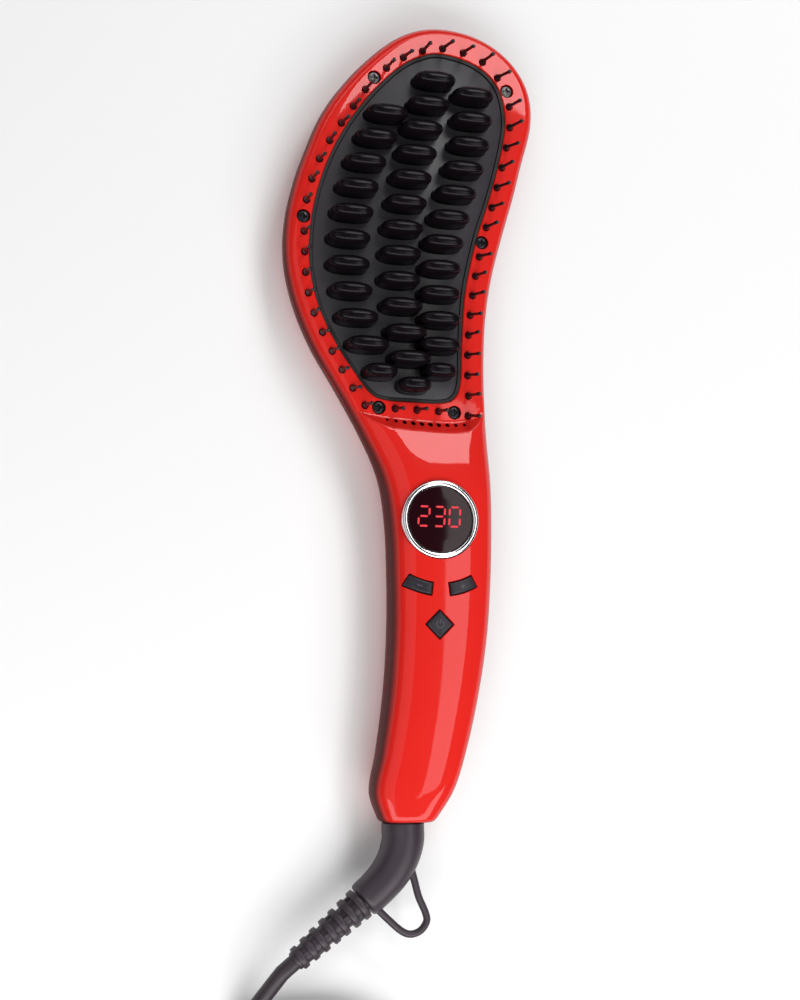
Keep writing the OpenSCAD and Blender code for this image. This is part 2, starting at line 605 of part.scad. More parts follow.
module front_cover() {
  color("red") difference() {
    union() {
      difference() {
        union() {
          loft(rim_sections([for (y = rows(top_y, end_y)) if (y > neck_y - 18) y], 0, 0));
          difference() {
            loft(crown_sections([for (y = rows(top_y, end_y)) if (y < neck_y + 9) y], 0, 0));
            scoop(0);
          }
        }
        loft(rim_sections([for (y = inner_rows(end_y)) if (y > neck_y - 15) y], wall, 1));
        difference() {
          loft(crown_sections([for (y = inner_rows(end_y + end_wall)) if (y < neck_y + 5) y], wall, 1));
          scoop(wall);
        }
      }
      for (y = screw_posts_y) post([ridge(y), y], sink_h + 3.1, crown_z(y) - wall / 2, screw_r + 1.4);
    }
    translate([0, 0, seam_z - 1]) linear_extrude(20) polygon(grown(plate_line, seal_w + 2 * seat));
    for (p = pins_at) hole(p, strip_top - 0.2, rim_z + 1, pin_d / 2 + pin_fit, 12);
    for (p = head_screws_at) {
      hole(p, rim_low - 1, rim_z + 1, screw_r + seat, 14);
      hole(p, rim_z - screw_sunk - screw_head_h, rim_z + 1, screw_head_d / 2 + seat, 20);
    }
    for (y = screw_posts_y) hole([ridge(y), y], sink_h, crown_z(y) - wall - 1, screw_r + seat, 14);
    hole([display_x, display_y], seam_z + 1, display_top + 5, bezel_d / 2 + seat, 48);
    window(arc_sections(1, button_fit, 6));
    window(arc_sections(-1, button_fit, 6));
    window(square_sections(button_fit, 1));
    for (k = [0:outlets - 1]) {
      x = outlet_x + outlet_span * (k / (outlets - 1) - 0.5);
      foot = on_head([x, 19.5 + 0.004 * pow(x - 8, 2)]);
      translate([foot[0], foot[1] - outlet_reach, rim_z - 4])
        cylinder(d = outlet_d * (1 - 0.35 * pow(2 * k / (outlets - 1) - 1, 2)), h = 12, $fn = 12);
    }
    along_y([neck_x, neck_z], end_y - 1, end_y + end_wall + 1, shaft_r + swivel_fit, shaft_r + swivel_fit);
  }
}
module head_screws() {
  color("dimgray") for (p = head_screws_at) screw(p, rim_z - screw_sunk, 7);
}
module handle_screws() {
  color("dimgray") for (y = screw_posts_y)
    translate([ridge(y), y, sink_h]) mirror([0, 0, 1]) screw([0, 0], screw_head_h, -13);
}
module heater_plate() {
  color("dimgray") difference() {
    translate([0, 0, plate_low]) linear_extrude(plate_t) polygon(plate_line);
    for (p = clamp_screws_at) hole(p, plate_low - 1, plate_low + 2, 1.1);
  }
}
module left_teeth() { color([0.08, 0.08, 0.09]) tooth_column(LEFT_TEETH, LEFT_COUNT); }
module centre_teeth() { color([0.08, 0.08, 0.09]) tooth_column(CENTRE_TEETH, CENTRE_COUNT); }
module right_teeth() { color([0.08, 0.08, 0.09]) tooth_column(RIGHT_TEETH, RIGHT_COUNT); }
module plate_seal() {
  color("black") translate([0, 0, plate_low]) linear_extrude(plate_t + 0.3) difference() {
    polygon(grown(plate_line, seal_w + seat));
    polygon(grown(plate_line, seat));
  }
}
module guard_pin_ring() {
  color([0.1, 0.05, 0.06]) {
    difference() {
      translate([0, 0, strip_low]) linear_extrude(strip_t) difference() {
        union() {
          intersection() {
            polygon(grown(plate_line, seal_w + 3 * seat + strip_w));
            polygon(head_room);
          }
          for (p = head_screws_at) translate(p) circle(r = screw_r + 1.3, $fn = 32);
          hull() {
            translate(on_head(STRIP_CORNER)) circle(r = 2.8, $fn = 32);
            translate(on_head(STRIP_BEND)) circle(r = 1.6, $fn = 16);
          }
        }
        polygon(grown(plate_line, seal_w + 3 * seat));
      }
      for (p = head_screws_at) hole(p, strip_low - 1, strip_top + 1, screw_r + 0.2);
    }
    for (p = pins_at) translate([p[0], p[1], strip_top]) pin();
  }
}

// Heater under the plate: boards, insulator and a clamp with its screws
element_t = 1.3;
ELEMENTS = [[-12, 68, 12], [-1, 112, -17]];
element_top = plate_low - seat;
mica_t = 0.5;
mica_top = element_top - element_t - seat;
clamp_t = 0.8;
clamp_top = mica_top - mica_t - seat;
clamp_screws_at = all_on_head([[2, 50], [-1, 89.8], [12, 133]]);
thermistor_at = on_head([9, 92]);
module heater_elements() {
  color("lightgray") for (e = ELEMENTS) {
    at = on_head([e[0], e[1]]);
    translate([at[0], at[1], element_top - element_t]) rotate(e[2])
      translate([-7, -19, 0]) cube([12, 38, element_t]);
  }
}
module insulator_sheet() {
  color("tan") difference() {
    translate([0, 0, mica_top - mica_t]) linear_extrude(mica_t) polygon(grown(plate_line, -2.4));
    for (p = clamp_screws_at) hole(p, mica_top - 2, mica_top + 1, 1.3);
    block(thermistor_at + [2.5, 0], [6.4, 3.4, 3], mica_top - 1.5);
  }
}
module heater_clamp() {
  line = open_curve(clamp_screws_at, 4);
  color("silver") difference() {
    translate([0, 0, clamp_top - clamp_t]) linear_extrude(clamp_t)
      polygon(concat([for (p = line) p - [5, 0]], [for (k = [len(line) - 1:-1:0]) line[k] + [5, 0]]));
    for (p = clamp_screws_at) hole(p, clamp_top - 2, clamp_top + 1, 1.3);
  }
}
module clamp_screws() {
  color("dimgray") for (p = clamp_screws_at) {
    hole(p, clamp_top - clamp_t - seat - 1.2, clamp_top - clamp_t - seat, 1.9);
    hole(p, clamp_top - clamp_t - seat - eps, plate_low + 1.8, 1);
  }
}
module thermistor() {
  color("goldenrod") translate([thermistor_at[0], thermistor_at[1], plate_low - seat - 1.1])
    rotate([0, 90, 0]) cylinder(r = 1.1, h = 5, $fn = 24);
}
module thermal_fuse() {
  at = on_head([0, 70]);
  color("silver") along_y([at[0], clamp_top - clamp_t - seat - 1.8], at[1] - 5, at[1] + 5, 1.8, 1.8);
}
module heater_leads() {
  color("white") for (x = [0, 3]) {
    path = [[display_x - 12 + x, neck_y + 12, chamber_low - 2.4],
            [display_x - 9.6 + x, neck_y + 2, chamber_low - 2.8],
            [display_x - 8.6 + x, neck_y - 13, chamber_low - 2.6],
            [display_x - 8.4 + x, neck_y - 22, tank_top + 1.4],
            [display_x - 8.2 + x, pcb_from - 3, pcb_low - 1.1]];
    tube(open_curve(path, 3), same(0.9, open_curve(path, 3)), 8);
  }
}
module display_bezel() {
  color("silver") translate([display_x, display_y, 0]) rotate_extrude($fn = 64)
    polygon([[lens_r - lens_ledge, lens_top - lens_t - 3], [bezel_d / 2, lens_top - lens_t - 3],
             [bezel_d / 2, display_top - 0.7], [bezel_d / 2 - 0.6, display_top],
             [lens_r + 0.5, display_top], [lens_r + seat, lens_top],
             [lens_r + seat, lens_top - lens_t - seat], [lens_r - lens_ledge, lens_top - lens_t - seat]]);
}
module display_lens() {
  color([0.15, 0.02, 0.03]) hole([display_x, display_y], lens_top - lens_t, lens_top, lens_r);
}
module display_module() {
  low = pcb_top;
  high = lens_top - lens_t - 1;
  r = lens_r - lens_ledge - 0.4;
  color([0.12, 0.12, 0.12]) difference() {
    block([display_x, display_y], [1.667 * r, 1.078 * r, high - low], low);
    for (k = [-1:1]) block([display_x + 0.53 * r * k, display_y], [0.412 * r, 0.784 * r, 1], high - 0.4);
  }
}
module minus_button() { color([0.12, 0.12, 0.13]) button(arc_sections(-1, 0, 6), minus_at, true); }
module plus_button() { color([0.12, 0.12, 0.13]) button(arc_sections(1, 0, 6), plus_at, false); }
module power_button() {
  color([0.12, 0.12, 0.13]) button(square_sections(0, 4), [power_x, power_y], false);
}
module tact_switches() {
  color("dimgray") for (at = [minus_at, plus_at, [power_x, power_y]]) {
    block(at, [tact_side, tact_side, tact_h], pcb_top);
    hole(at, pcb_top + tact_h, plunger_top, plunger_r);
  }
}
module main_pcb() {
  color("darkgreen") block([display_x, (pcb_from + pcb_to) / 2], [pcb_w, pcb_from - pcb_to, pcb_t], pcb_low);
}
module filter_capacitor() {
  color("royalblue") along_y([display_x - 3.4, pcb_low - 4.4 - seat], pcb_to + 5.6, pcb_to + 20.6, 4.4, 4.4);
}
module power_choke() {
  color("saddlebrown") translate([display_x + 6, pcb_to + 13, pcb_low - seat - 7]) difference() {
    cylinder(r = 4.2, h = 7, $fn = 40);
    translate([0, 0, -1]) cylinder(r = 1.6, h = 9, $fn = 24);
  }
}
module triac() {
  color("black") block([display_x, pcb_to + 25], [10, 4.4, 8], pcb_low - 8 - seat);
}
module tank_body(d) {
  hull() {
    translate([tank_at[0], tank_at[1], tank_low + d]) linear_extrude(1)
      polygon(rounded(tank_w - 10 - 2 * d, tank_l - 2 * d, 2));
    translate([tank_at[0], tank_at[1], tank_low + 3]) linear_extrude(tank_top - tank_low - 3 - d)
      polygon(rounded(tank_w - 2 * d, tank_l - 2 * d, 3));
  }
}
module water_tank() {
  color("lightblue") difference() {
    union() {
      tank_body(0);
      along_x([filler_y, filler_z], tank_at[0] + tank_w / 2 - tank_wall, filler_face - seat, plug_cap_r - 1);
    }
    tank_body(tank_wall);
    along_x([filler_y, filler_z], tank_at[0] + tank_w / 2 - 2 * tank_wall, filler_face + 1, filler_r);
  }
}
module filler_plug() {
  color([0.2, 0.2, 0.22]) {
    along_x([filler_y, filler_z], filler_face, filler_face + plug_cap_t, plug_cap_r);
    along_x([filler_y, filler_z], filler_face - 4, filler_face + eps, filler_r - 0.15);
  }
}
module feed_tube() {
  x = display_x - 2;
  color("white") {
    along_y([x, tank_top - 2.2], tank_at[1] + tank_l / 2 + seat, chamber_y[0] + 3, 1.2, 1.2);
    translate([x, chamber_y[0] + 3, tank_top - 2.2]) sphere(r = 1.2, $fn = 24);
    hole([x, chamber_y[0] + 3], tank_top - 2.2, chamber_low - seat, 1.2);
  }
}
module steam_chamber() {
  l = chamber_y[1] - chamber_y[0];
  at = [outlet_x, chamber_y[0] + l / 2];
  color("gray") difference() {
    union() {
      translate([at[0], at[1], chamber_low]) linear_extrude(chamber_top - chamber_low)
        polygon(rounded(chamber_w, l, 2));
      block(nozzle_at, [chamber_w - 1, 3.4, 0.7 + eps], chamber_top - eps);
    }
    block(at, [chamber_w - 3, l - 3, chamber_top - chamber_low - 3], chamber_low + 1.5);
    block(nozzle_at, [chamber_w - 4, 2, 4], chamber_top - 2);
    hole([display_x - 2, chamber_y[0] + 3], chamber_low - 1, chamber_low + 2, 0.8, 12);
  }
}
// Half section of the strain relief: a tapered core with ribs
rib_r = [for (k = [0:ribs - 1]) 5.7 - 1.5 * k / (ribs - 1)];
rib_from = [for (k = [0:ribs - 1]) 1.4 + rib_pitch * k];
function core_r(s) = 3.9 - 0.6 * s / relief_l;
relief_profile = concat(
  [[0, -2], [core_r(0), -2]],
  [for (k = [0:ribs - 1]) let (a = rib_from[k], b = a + rib_t, r = rib_r[k], bevel = 0.4)
     each [[core_r(a), a], [r - bevel, a], [r, a + bevel], [r, b - bevel], [r - bevel, b], [core_r(b), b]]],
  [[core_r(relief_l), relief_l + 0.6], [0, relief_l + 0.6]]);
module along_relief(s) {
  at = relief_from + relief_way * s;
  translate([at[0], at[1], neck_z]) rotate([0, 90, atan2(relief_way[1], relief_way[0])]) children();
}
module cord_guard() {
  color([0.2, 0.17, 0.2]) {
    path = [for (p = concat([[0, 0]], open_curve(ELBOW, 2))) concat(guard_from + p, [neck_z])];
    radii = [for (p = concat([[0, 0]], open_curve([for (d = ELBOW_D) [d, 0]], 2))) (neck_d + p[0]) / 2];
    tube(path, radii, 20);
    along_relief(0) rotate_extrude($fn = 48) polygon(relief_profile);
    // The bridges between the ribs turn by a quarter from one gap to the next
    for (k = [0:ribs - 2]) {
      gap = rib_pitch - rib_t;
      wide = k % 2 == 0 ? [1.9, 1.6 * rib_r[k]] : [1.6 * rib_r[k], 1.9];
      along_relief(rib_from[k] + rib_t + gap / 2) cube([wide[0], wide[1], gap + 0.4], center = true);
    }
    loop_line = [for (p = open_curve(LOOP, 2)) concat(guard_from + p, [neck_z])];
    tube(loop_line, same(loop_d / 2, loop_line), 8);
  }
}
module swivel_hub() {
  color("ivory") {
    along_y([neck_x, neck_z], end_y - 0.3, end_y + end_wall + 0.4, shaft_r, shaft_r);
    along_y([neck_x, neck_z], end_y + end_wall + 0.3, end_y + end_wall + 0.3 + hub_flange_t,
            shaft_r + hub_lip, shaft_r + hub_lip);
    along_y([neck_x, neck_z], end_y + end_wall, hub_end, carrier_r, carrier_r);
  }
}
module contact_rings() {
  color("gold") for (y = ring_at) difference() {
    along_y([neck_x, neck_z], y, y + ring_l, carrier_r + ring_t, carrier_r + ring_t);
    along_y([neck_x, neck_z], y - 1, y + ring_l + 1, carrier_r, carrier_r);
  }
}
module contact_fingers() {
  color("gold") for (k = [0, 1]) {
    x = neck_x + (k == 0 ? 1 : -1) * (carrier_r + ring_t + 0.55);
    translate([x - 0.25, ring_at[k], block_low + block_t])
      cube([0.5, ring_l, neck_z + 1 - block_low - block_t]);
  }
}
module swivel_block() {
  color("ivory") difference() {
    union() {
      translate([neck_x - block_w / 2, ring_at[0] - 0.4, block_low])
        cube([block_w, bearing_at - ring_at[0] + 0.5, block_t]);
      translate([neck_x - block_w / 2, bearing_at, block_low]) cube([block_w, bearing_t, 11.8]);
    }
    along_y([neck_x, neck_z], bearing_at - 1, bearing_at + bearing_t + 1,
            carrier_r + swivel_fit, carrier_r + swivel_fit);
  }
}
module power_cord_lead() { color([0.25, 0.22, 0.24]) tube(lead_line, same(cord_r, lead_line), 8); }
module power_cord_coil() {
  color([0.25, 0.22, 0.24])
    loft(concat([tube_ring(coil_in, coil_heading(0.01), cord_r, 6)],
                [for (k = [0:COIL_TURNS * RINGS]) let (t = min(COIL_TURNS - 0.01, max(0.01, k / RINGS)))
                   tube_ring(coil_point(k / RINGS), coil_heading(t), cord_r, 6)],
                [tube_ring(coil_out, coil_heading(COIL_TURNS - 0.01), cord_r, 6)]));
}
module power_cord_tail() { color([0.25, 0.22, 0.24]) tube(tail_line, same(cord_r, tail_line), 8); }
module plug_body() {
  color([0.2, 0.18, 0.2]) translate([plug_at[0], plug_at[1], 0]) {
    hull() {
      translate([0, -plug_l + 6, 0]) linear_extrude(plug_t)
        polygon([[-plug_w / 2, 2], [-plug_w / 2 + 1, -6], [plug_w / 2 - 1, -6], [plug_w / 2, 2],
                 [plug_w / 2 - 4, 9], [-plug_w / 2 + 4, 9]]);
      translate([0, -8, plug_t / 2]) rotate([90, 0, 0]) cylinder(r = 5.6, h = 4, $fn = 24);
    }
    translate([0, 0, plug_at[2]]) rotate([90, 0, 0]) cylinder(r1 = 4.2, r2 = 5.2, h = 9, $fn = 32);
  }
}
module plug_pins() {
  color("silver") for (x = [-pin_gap / 2, pin_gap / 2])
    along_y([plug_at[0] + x, plug_at[2]], plug_at[1] - plug_l - plug_pin_l, plug_at[1] - plug_l,
            plug_pin_r, plug_pin_r);
}

back_cover();
front_cover();
head_screws();
handle_screws();
heater_plate();
left_teeth();
centre_teeth();
right_teeth();
plate_seal();
guard_pin_ring();
heater_elements();
insulator_sheet();
heater_clamp();
clamp_screws();
thermistor();
thermal_fuse();
heater_leads();
display_bezel();
display_lens();
display_module();
minus_button();
plus_button();
power_button();
tact_switches();
main_pcb();
filter_capacitor();
power_choke();
triac();
water_tank();
filler_plug();
feed_tube();
steam_chamber();
cord_guard();
swivel_hub();
contact_rings();
contact_fingers();
swivel_block();
power_cord_lead();
power_cord_coil();
power_cord_tail();
plug_body();
plug_pins();
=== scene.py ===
import math

import bmesh
import bpy
import numpy as np
from bpy.props import FloatProperty, FloatVectorProperty, IntProperty, PointerProperty
from mathutils import Matrix, Vector


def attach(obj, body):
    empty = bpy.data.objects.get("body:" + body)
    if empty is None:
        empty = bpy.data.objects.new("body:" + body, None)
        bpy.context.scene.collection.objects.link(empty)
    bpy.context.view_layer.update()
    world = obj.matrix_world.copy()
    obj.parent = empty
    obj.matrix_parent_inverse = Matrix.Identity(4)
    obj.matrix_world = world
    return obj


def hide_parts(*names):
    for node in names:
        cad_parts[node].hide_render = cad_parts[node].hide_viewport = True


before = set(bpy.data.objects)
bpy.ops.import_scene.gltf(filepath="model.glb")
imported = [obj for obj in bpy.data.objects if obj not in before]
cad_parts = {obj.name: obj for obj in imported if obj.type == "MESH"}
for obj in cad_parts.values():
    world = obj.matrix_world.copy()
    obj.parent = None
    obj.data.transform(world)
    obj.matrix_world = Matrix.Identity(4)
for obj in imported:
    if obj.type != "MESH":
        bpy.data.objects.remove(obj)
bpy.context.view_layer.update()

bl_info = {
    "name": "Steam hair brush",
    "version": (1, 0, 0),
    "blender": (4, 5, 0),
    "location": "3D View > Sidebar > Hair Brush",
    "description": "Builds a heated steam hair brush with its cord, piece by piece",
    "category": "Object",
}

MM = 0.001

# Heights and places in millimetres, as in the CAD source apart from the step
SEAM = 13.5
RIM = 19.0
CROWN_RISE = 7.7
WALL = 2.2
EDGE_R = 4.0
BACK_R = 14.0
TOP_Y = 166.0
END_Y = -118.0
HEAD_Y, HEAD_BLEND = 100, 30  # from here on the nearest point of the outline counts
CAP_Y, CAP_X, CAP_POWER = 120.0, 13.8, 2.15
PLATE_TOP = 18.2
PLATE_LOW = 15.2

# y, left edge, right edge, ridge, share of the crown's rise, height of the back
STATIONS = np.array([
    [166, -20, 53.5, 10, -0.12, 6], [155, -22.5, 53, 10, -0.12, 3], [144, -26.5, 51.4, 9, -0.12, 0.8],
    [132, -31.2, 48.2, 8, -0.12, 0], [120, -35.6, 44.3, 6, -0.12, 0], [105, -40.8, 40.4, 3, -0.12, 0],
    [90, -44, 36, 0, -0.12, 0], [75, -44.2, 32, -2, -0.12, 0], [60, -40.8, 29.5, -2, -0.12, 0],
    [45, -34.3, 28.6, 0, -0.12, 0], [30, -25.2, 28.6, 3, 0.05, 0], [15, -16.8, 29, 6.5, 0.45, 0.4],
    [0, -10.2, 29.7, 8.5, 0.83, 1.2], [-15, -7.6, 29.8, 8.7, 0.98, 1.8], [-35, -6.6, 29.3, 8.7, 1, 1.8],
    [-55, -6.6, 27.8, 8, 1, 1.2], [-75, -7.8, 24.6, 6.4, 0.96, 0.4], [-95, -10.4, 20, 3.6, 0.8, 0],
    [-108, -12.6, 15.6, 1.2, 0.64, 0.6], [-118, -9.4, 9, -0.4, 0.42, 4.5]])
STEP_Y, STEP_RISE = 19.3, 1.2  # middle of the step's line in the table, and how far up it is drawn
STEP_PATH = [[-30, 28], [-22, 22.8], [-12, 20.3], [4, 19.3], [17, 19.4], [24, 21.8], [31, 27]]
PLATE = [
    [12, 153.8], [24, 151.2], [32, 144.5], [34.9, 133.5], [33.4, 121], [29, 104], [23.6, 87],
    [19.4, 68], [17.9, 50], [17.4, 35], [15.2, 29.2], [10, 27.6], [0, 27.6], [-8.5, 27.8],
    [-13.4, 29.6], [-19, 36.5], [-26, 47], [-31.8, 59], [-34.9, 72], [-35.1, 84], [-33.2, 97],
    [-28.8, 111], [-22, 124.5], [-13.5, 136.5], [-4, 146.6], [4, 151.8]]
LEFT_TEETH = [[129.2, -9.5], [105, -19.2], [78, -23.4], [55, -20.4], [35.9, -11.7]]
CENTRE_TEETH = [[143.3, 8.2], [115, 1.1], [90, -3.7], [68, -5], [50, -2.6], [31.8, 0.5]]
RIGHT_TEETH = [[138.9, 22.5], [119.8, 20.8], [96, 14.1], [78, 10.2], [55.5, 9.8], [37.2, 9.8]]
SCREW_A, SCREW_B, SCREW_C = [-13.2, 143.4], [36.8, 143.6], [26.8, 85.9]
SCREW_D, SCREW_E, SCREW_F = [16.2, 23.4], [-11.3, 23.8], [-38.6, 90.1]
HEAD_SCREWS = [SCREW_A, SCREW_B, SCREW_C, SCREW_D, SCREW_E, SCREW_F]
PIN_RUNS = [
    [7, [SCREW_A, [-2, 152.2], [13, 157], [28, 153.4], SCREW_B]],
    [7, [SCREW_B, [37.8, 130], [32.6, 106.5], SCREW_C]],
    [9, [SCREW_C, [23.4, 68], [21.4, 50], [21.2, 34], [21.4, 22.6], SCREW_D]],
    [3, [SCREW_D, [2.5, 23.6], SCREW_E]],
    [10, [SCREW_E, [-16.6, 24.6], [-28, 42.6], [-36.6, 62.4], SCREW_F]],
    [7, [SCREW_F, [-35.8, 103.5], [-29.6, 118], SCREW_A]]]
NECK_X, NECK_Z, SHAFT_R = -1.2, 13.5, 5.4
DISPLAY = (8.7, -15.5)
HANDLE_SCREWS_Y = (-76.0, -91.0)
KEY_LIFT = 0.5  # how far the buttons stand out of the crown
KEY_ANGLE, KEY_SPREAD = 18.5, 11.0  # the plus and minus buttons, in degrees round the display
OUTLETS, OUTLET_X, OUTLET_Y, OUTLET_SPAN = 10, 5.5, 19.5, 28
OUTLET_BOW, OUTLET_DOWN = 0.004, 1.1  # bend of their row, and its way down the step
OUTLET_TAPER = 0.35  # how much smaller the outermost outlets are
FILLER_Y, FILLER_Z = -8, 7.5
GAP = 0.3  # round buttons and the swivelling shaft
SEAM_HALF = 0.1  # half of the gap between the shells
STEP_DROP = 0.1  # how far the foot of the step lies under the rim
STEP_FOOT, STEP_SLOPE = 0.22, 0.85  # the foot's share of the reach, and the rise of the wall above it
STEP_MEET = 0.5  # over which the step and the crown run into each other
BEYOND = 99  # stands for no limit, where the step does not reach
ABOVE = 40  # where tools that cut from above begin
BACK_POWER = 2.3
MIDDLE_RANGE = 0.45, 0.62  # where the middle points of a row may lie, as shares of its width
SOFTER = 1.5  # how much squarer the handle's arch is than the head's


# ---- curves and the casing's form ----

def along(table, y, column):
    """Smooth curve through the rows of a table that falls in y."""
    t = np.asarray(table, float)
    ys, vs = t[:, 0], t[:, column]
    y = np.asarray(y, float)
    i = np.clip(np.searchsorted(-ys, -y, side="right") - 1, 0, len(ys) - 2)
    low = np.maximum(np.arange(len(ys)) - 1, 0)
    high = np.minimum(np.arange(len(ys)) + 1, len(ys) - 1)
    slopes = (vs[high] - vs[low]) / (ys[high] - ys[low])
    h = ys[i + 1] - ys[i]
    s = (y - ys[i]) / h
    return ((2 * s**3 - 3 * s**2 + 1) * vs[i] + (s**3 - 2 * s**2 + s) * h * slopes[i]
            + (3 * s**2 - 2 * s**3) * vs[i + 1] + (s**3 - s**2) * h * slopes[i + 1])


def spline(points, steps, closed=False):
    """Smooth curve through points, with that many steps to a span."""
    p = np.asarray(points, float)
    if closed:
        p = np.vstack([p[-1], p, p[0], p[1]])
    else:
        p = np.vstack([2 * p[0] - p[1], p, 2 * p[-1] - p[-2]])
    s = (np.arange(steps) / steps)[:, None]
    spans = [0.5 * (2 * b + (c - a) * s + (2 * a - 5 * b + 4 * c - d) * s**2
                    + (3 * b - a - 3 * c + d) * s**3)
             for a, b, c, d in zip(p, p[1:], p[2:], p[3:])]
    line = np.vstack(spans)
    return line if closed else np.vstack([line, p[-2]])


def smooth_step(t):
    s = np.clip(t, 0, 1)
    return s * s * (3 - 2 * s)


def smooth_min(a, b, k):
    """The lower of a and b, rounded over k where they cross."""
    h = np.clip(0.5 + 0.5 * (b - a) / k, 0, 1)
    return b * (1 - h) + a * h - k * h * (1 - h)


def cap(y):
    t = np.clip((np.asarray(y, float) - CAP_Y) / (TOP_Y - CAP_Y), 0, 1)
    return np.maximum(0, 1 - t**CAP_POWER) ** (1 / CAP_POWER)


def edge(y, side):
    """x of the casing's edge; side is 1 for left and 2 for right."""
    return CAP_X + (along(STATIONS, y, side) - CAP_X) * cap(y)


def edge_slope(y, side):
    high = np.minimum(np.asarray(y, float) + 0.05, TOP_Y)
    low = np.asarray(y, float) - 0.05
    return (edge(high, side) - edge(low, side)) / (high - low)


def ridge(y):
    return along(STATIONS, y, 3)


def handle_share(y):
    """0 on the head and 1 on the handle."""
    return smooth_step((30 - np.asarray(y, float)) / 40)


def crown_z(y):
    return RIM + CROWN_RISE * along(STATIONS, y, 4)


def back_z(y):
    return np.maximum(0, along(STATIONS, y, 5))


def arch(u, power):
    return (1 - (1 - np.clip(u, 0, 1)) ** power) ** (1 / power)


def outline():
    """The casing's outline from above."""
    turn = np.sin(np.pi / 2 * np.linspace(0, 1, 60))
    ys = np.concatenate([np.linspace(END_Y, CAP_Y, 240)[:-1], CAP_Y + (TOP_Y - CAP_Y) * turn])
    left, right = (np.stack([edge(ys, side), ys], 1) for side in (1, 2))
    return np.vstack([left, right[::-1][1:]])


def nearest(line, x, y):
    """Distance from points to a closed line."""
    p = np.stack([x.ravel(), y.ravel()], 1)
    best = np.full(len(p), np.inf)
    for a, b in zip(line, np.roll(line, -1, 0)):
        ab = b - a
        length = ab @ ab
        if length > 0:
            t = np.clip((p - a) @ ab / length, 0, 1)
            best = np.minimum(best, np.linalg.norm(p - a - t[:, None] * ab, axis=1))
    return best.reshape(x.shape)


def from_edge(x, y):
    """Distance inwards from the casing's edge."""
    left = (x - edge(y, 1)) / np.sqrt(1 + edge_slope(y, 1) ** 2)
    right = (edge(y, 2) - x) / np.sqrt(1 + edge_slope(y, 2) ** 2)
    f = np.where(x < ridge(y), left, right)
    head = y > HEAD_Y
    if head.any():
        share = smooth_step((y - HEAD_Y) / HEAD_BLEND)
        f = np.where(head, f * (1 - share) + np.sign(f) * nearest(outline(), x, y) * share, f)
    return f


def half_width(x, y):
    return np.where(x < ridge(y), ridge(y) - edge(y, 1), edge(y, 2) - ridge(y))


def inner_reach(reach, d):
    return reach - np.minimum(d, reach / 2)


STEP_LINE = spline(STEP_PATH, 24) + [0, STEP_RISE]


def step_line_y(x):
    return np.interp(x, STEP_LINE[:, 0], STEP_LINE[:, 1])


def step_z(x, y, reach, d=0.0):
    """Height that the step leaves of the handle: a rounded foot, then a straight slope."""
    slope = step_line_y(x + 0.5) - step_line_y(x - 0.5)
    away = (step_line_y(x) - y) / np.sqrt(1 + slope**2)
    foot = STEP_FOOT * reach
    lift = np.where(away < foot, away**2 / (2 * foot), away - foot / 2)
    low = RIM - STEP_DROP - d
    return np.where(away >= reach + d, BEYOND, np.where(away > 0, low + STEP_SLOPE * lift, low))


def flank(f, reach, d, power):
    """Share of the full height at a distance f from the edge of a surface at wall d."""
    return arch(f / inner_reach(reach, d), power)


def blend_reach(head_reach, half, y):
    """How far the rounded edge reaches: a fixed width on the head, all of the half on the handle."""
    share = handle_share(y)
    return head_reach * (1 - share) + half * share


def front_power(y):
    return 2 + SOFTER * handle_share(y)


def front_z(x, y, d=0.0):
    """Height of the front's surface, or of its inside at wall d."""
    f = from_edge(x, y) - d
    rim = SEAM + (RIM - d - SEAM) * flank(f, EDGE_R, d, 2)
    reach = blend_reach(EDGE_R, half_width(x, y), y)
    crown = SEAM + (crown_z(y) - d - SEAM) * flank(f, reach, d, front_power(y))
    step = step_z(x, y, sizes().step_reach / MM, d)
    return np.maximum(rim, smooth_min(crown, step, STEP_MEET))


def on_front(line):
    """Heights of the front's surface along a line."""
    return front_z(line[:, 0][None], line[:, 1][None])[0]


def back_surface_z(x, y, d=0.0):
    reach = blend_reach(BACK_R, half_width(x, y), y)
    return SEAM - (SEAM - d - back_z(y)) * flank(from_edge(x, y) - d, reach, d, BACK_POWER)


def shell_grid(ys, d, height, reach_of, power_of, k1, k2, warp):
    """x, y and z of a shell's surface: a row for each y, closer together towards the edges.

    k1 points lie on each rounded edge and k2 on each half between them. With warp the rows bend along
    the step's line.
    """
    ys = np.asarray(ys, float)[:, None]
    turn = np.linspace(0, math.pi / 2, k1 + 1)
    flat = np.linspace(0, 1, k2 + 1)[1:]
    y = np.repeat(ys, 2 * (k1 + k2) + 1, 1)
    for _ in range(6):
        sides = []
        for side, sign, part in ((1, 1, y[:, :k1 + k2 + 1]), (2, -1, y[:, k1 + k2:][:, ::-1])):
            skew = np.sqrt(1 + edge_slope(part, side) ** 2)
            start = edge(part, side) + sign * d * skew
            left, wide = edge(part, 1), edge(part, 2) - edge(part, 1)
            middle = np.clip(ridge(part), left + MIDDLE_RANGE[0] * wide, left + MIDDLE_RANGE[1] * wide)
            half = np.abs(middle - start)
            reach = np.minimum(inner_reach(reach_of(part, half), d) * skew, 0.88 * half)
            bend = reach[:, :k1 + 1] * (1 - np.cos(turn) ** (2 / power_of(part)[:, :k1 + 1]))
            bend[:, k1] = reach[:, k1]
            rest = reach[:, k1 + 1:] + (half - reach)[:, k1 + 1:] * flat
            sides.append(start + sign * np.hstack([bend, rest]))
        x = np.concatenate([sides[0], sides[1][:, ::-1][:, 1:]], 1)
        if not warp:
            break
        pull = smooth_step((ys + 12) / 22) * smooth_step((50 - ys) / 28)
        y = ys + pull * (step_line_y(x) - STEP_Y - STEP_RISE)
    return x, y, height(x, y, d)


# ---- meshes ----

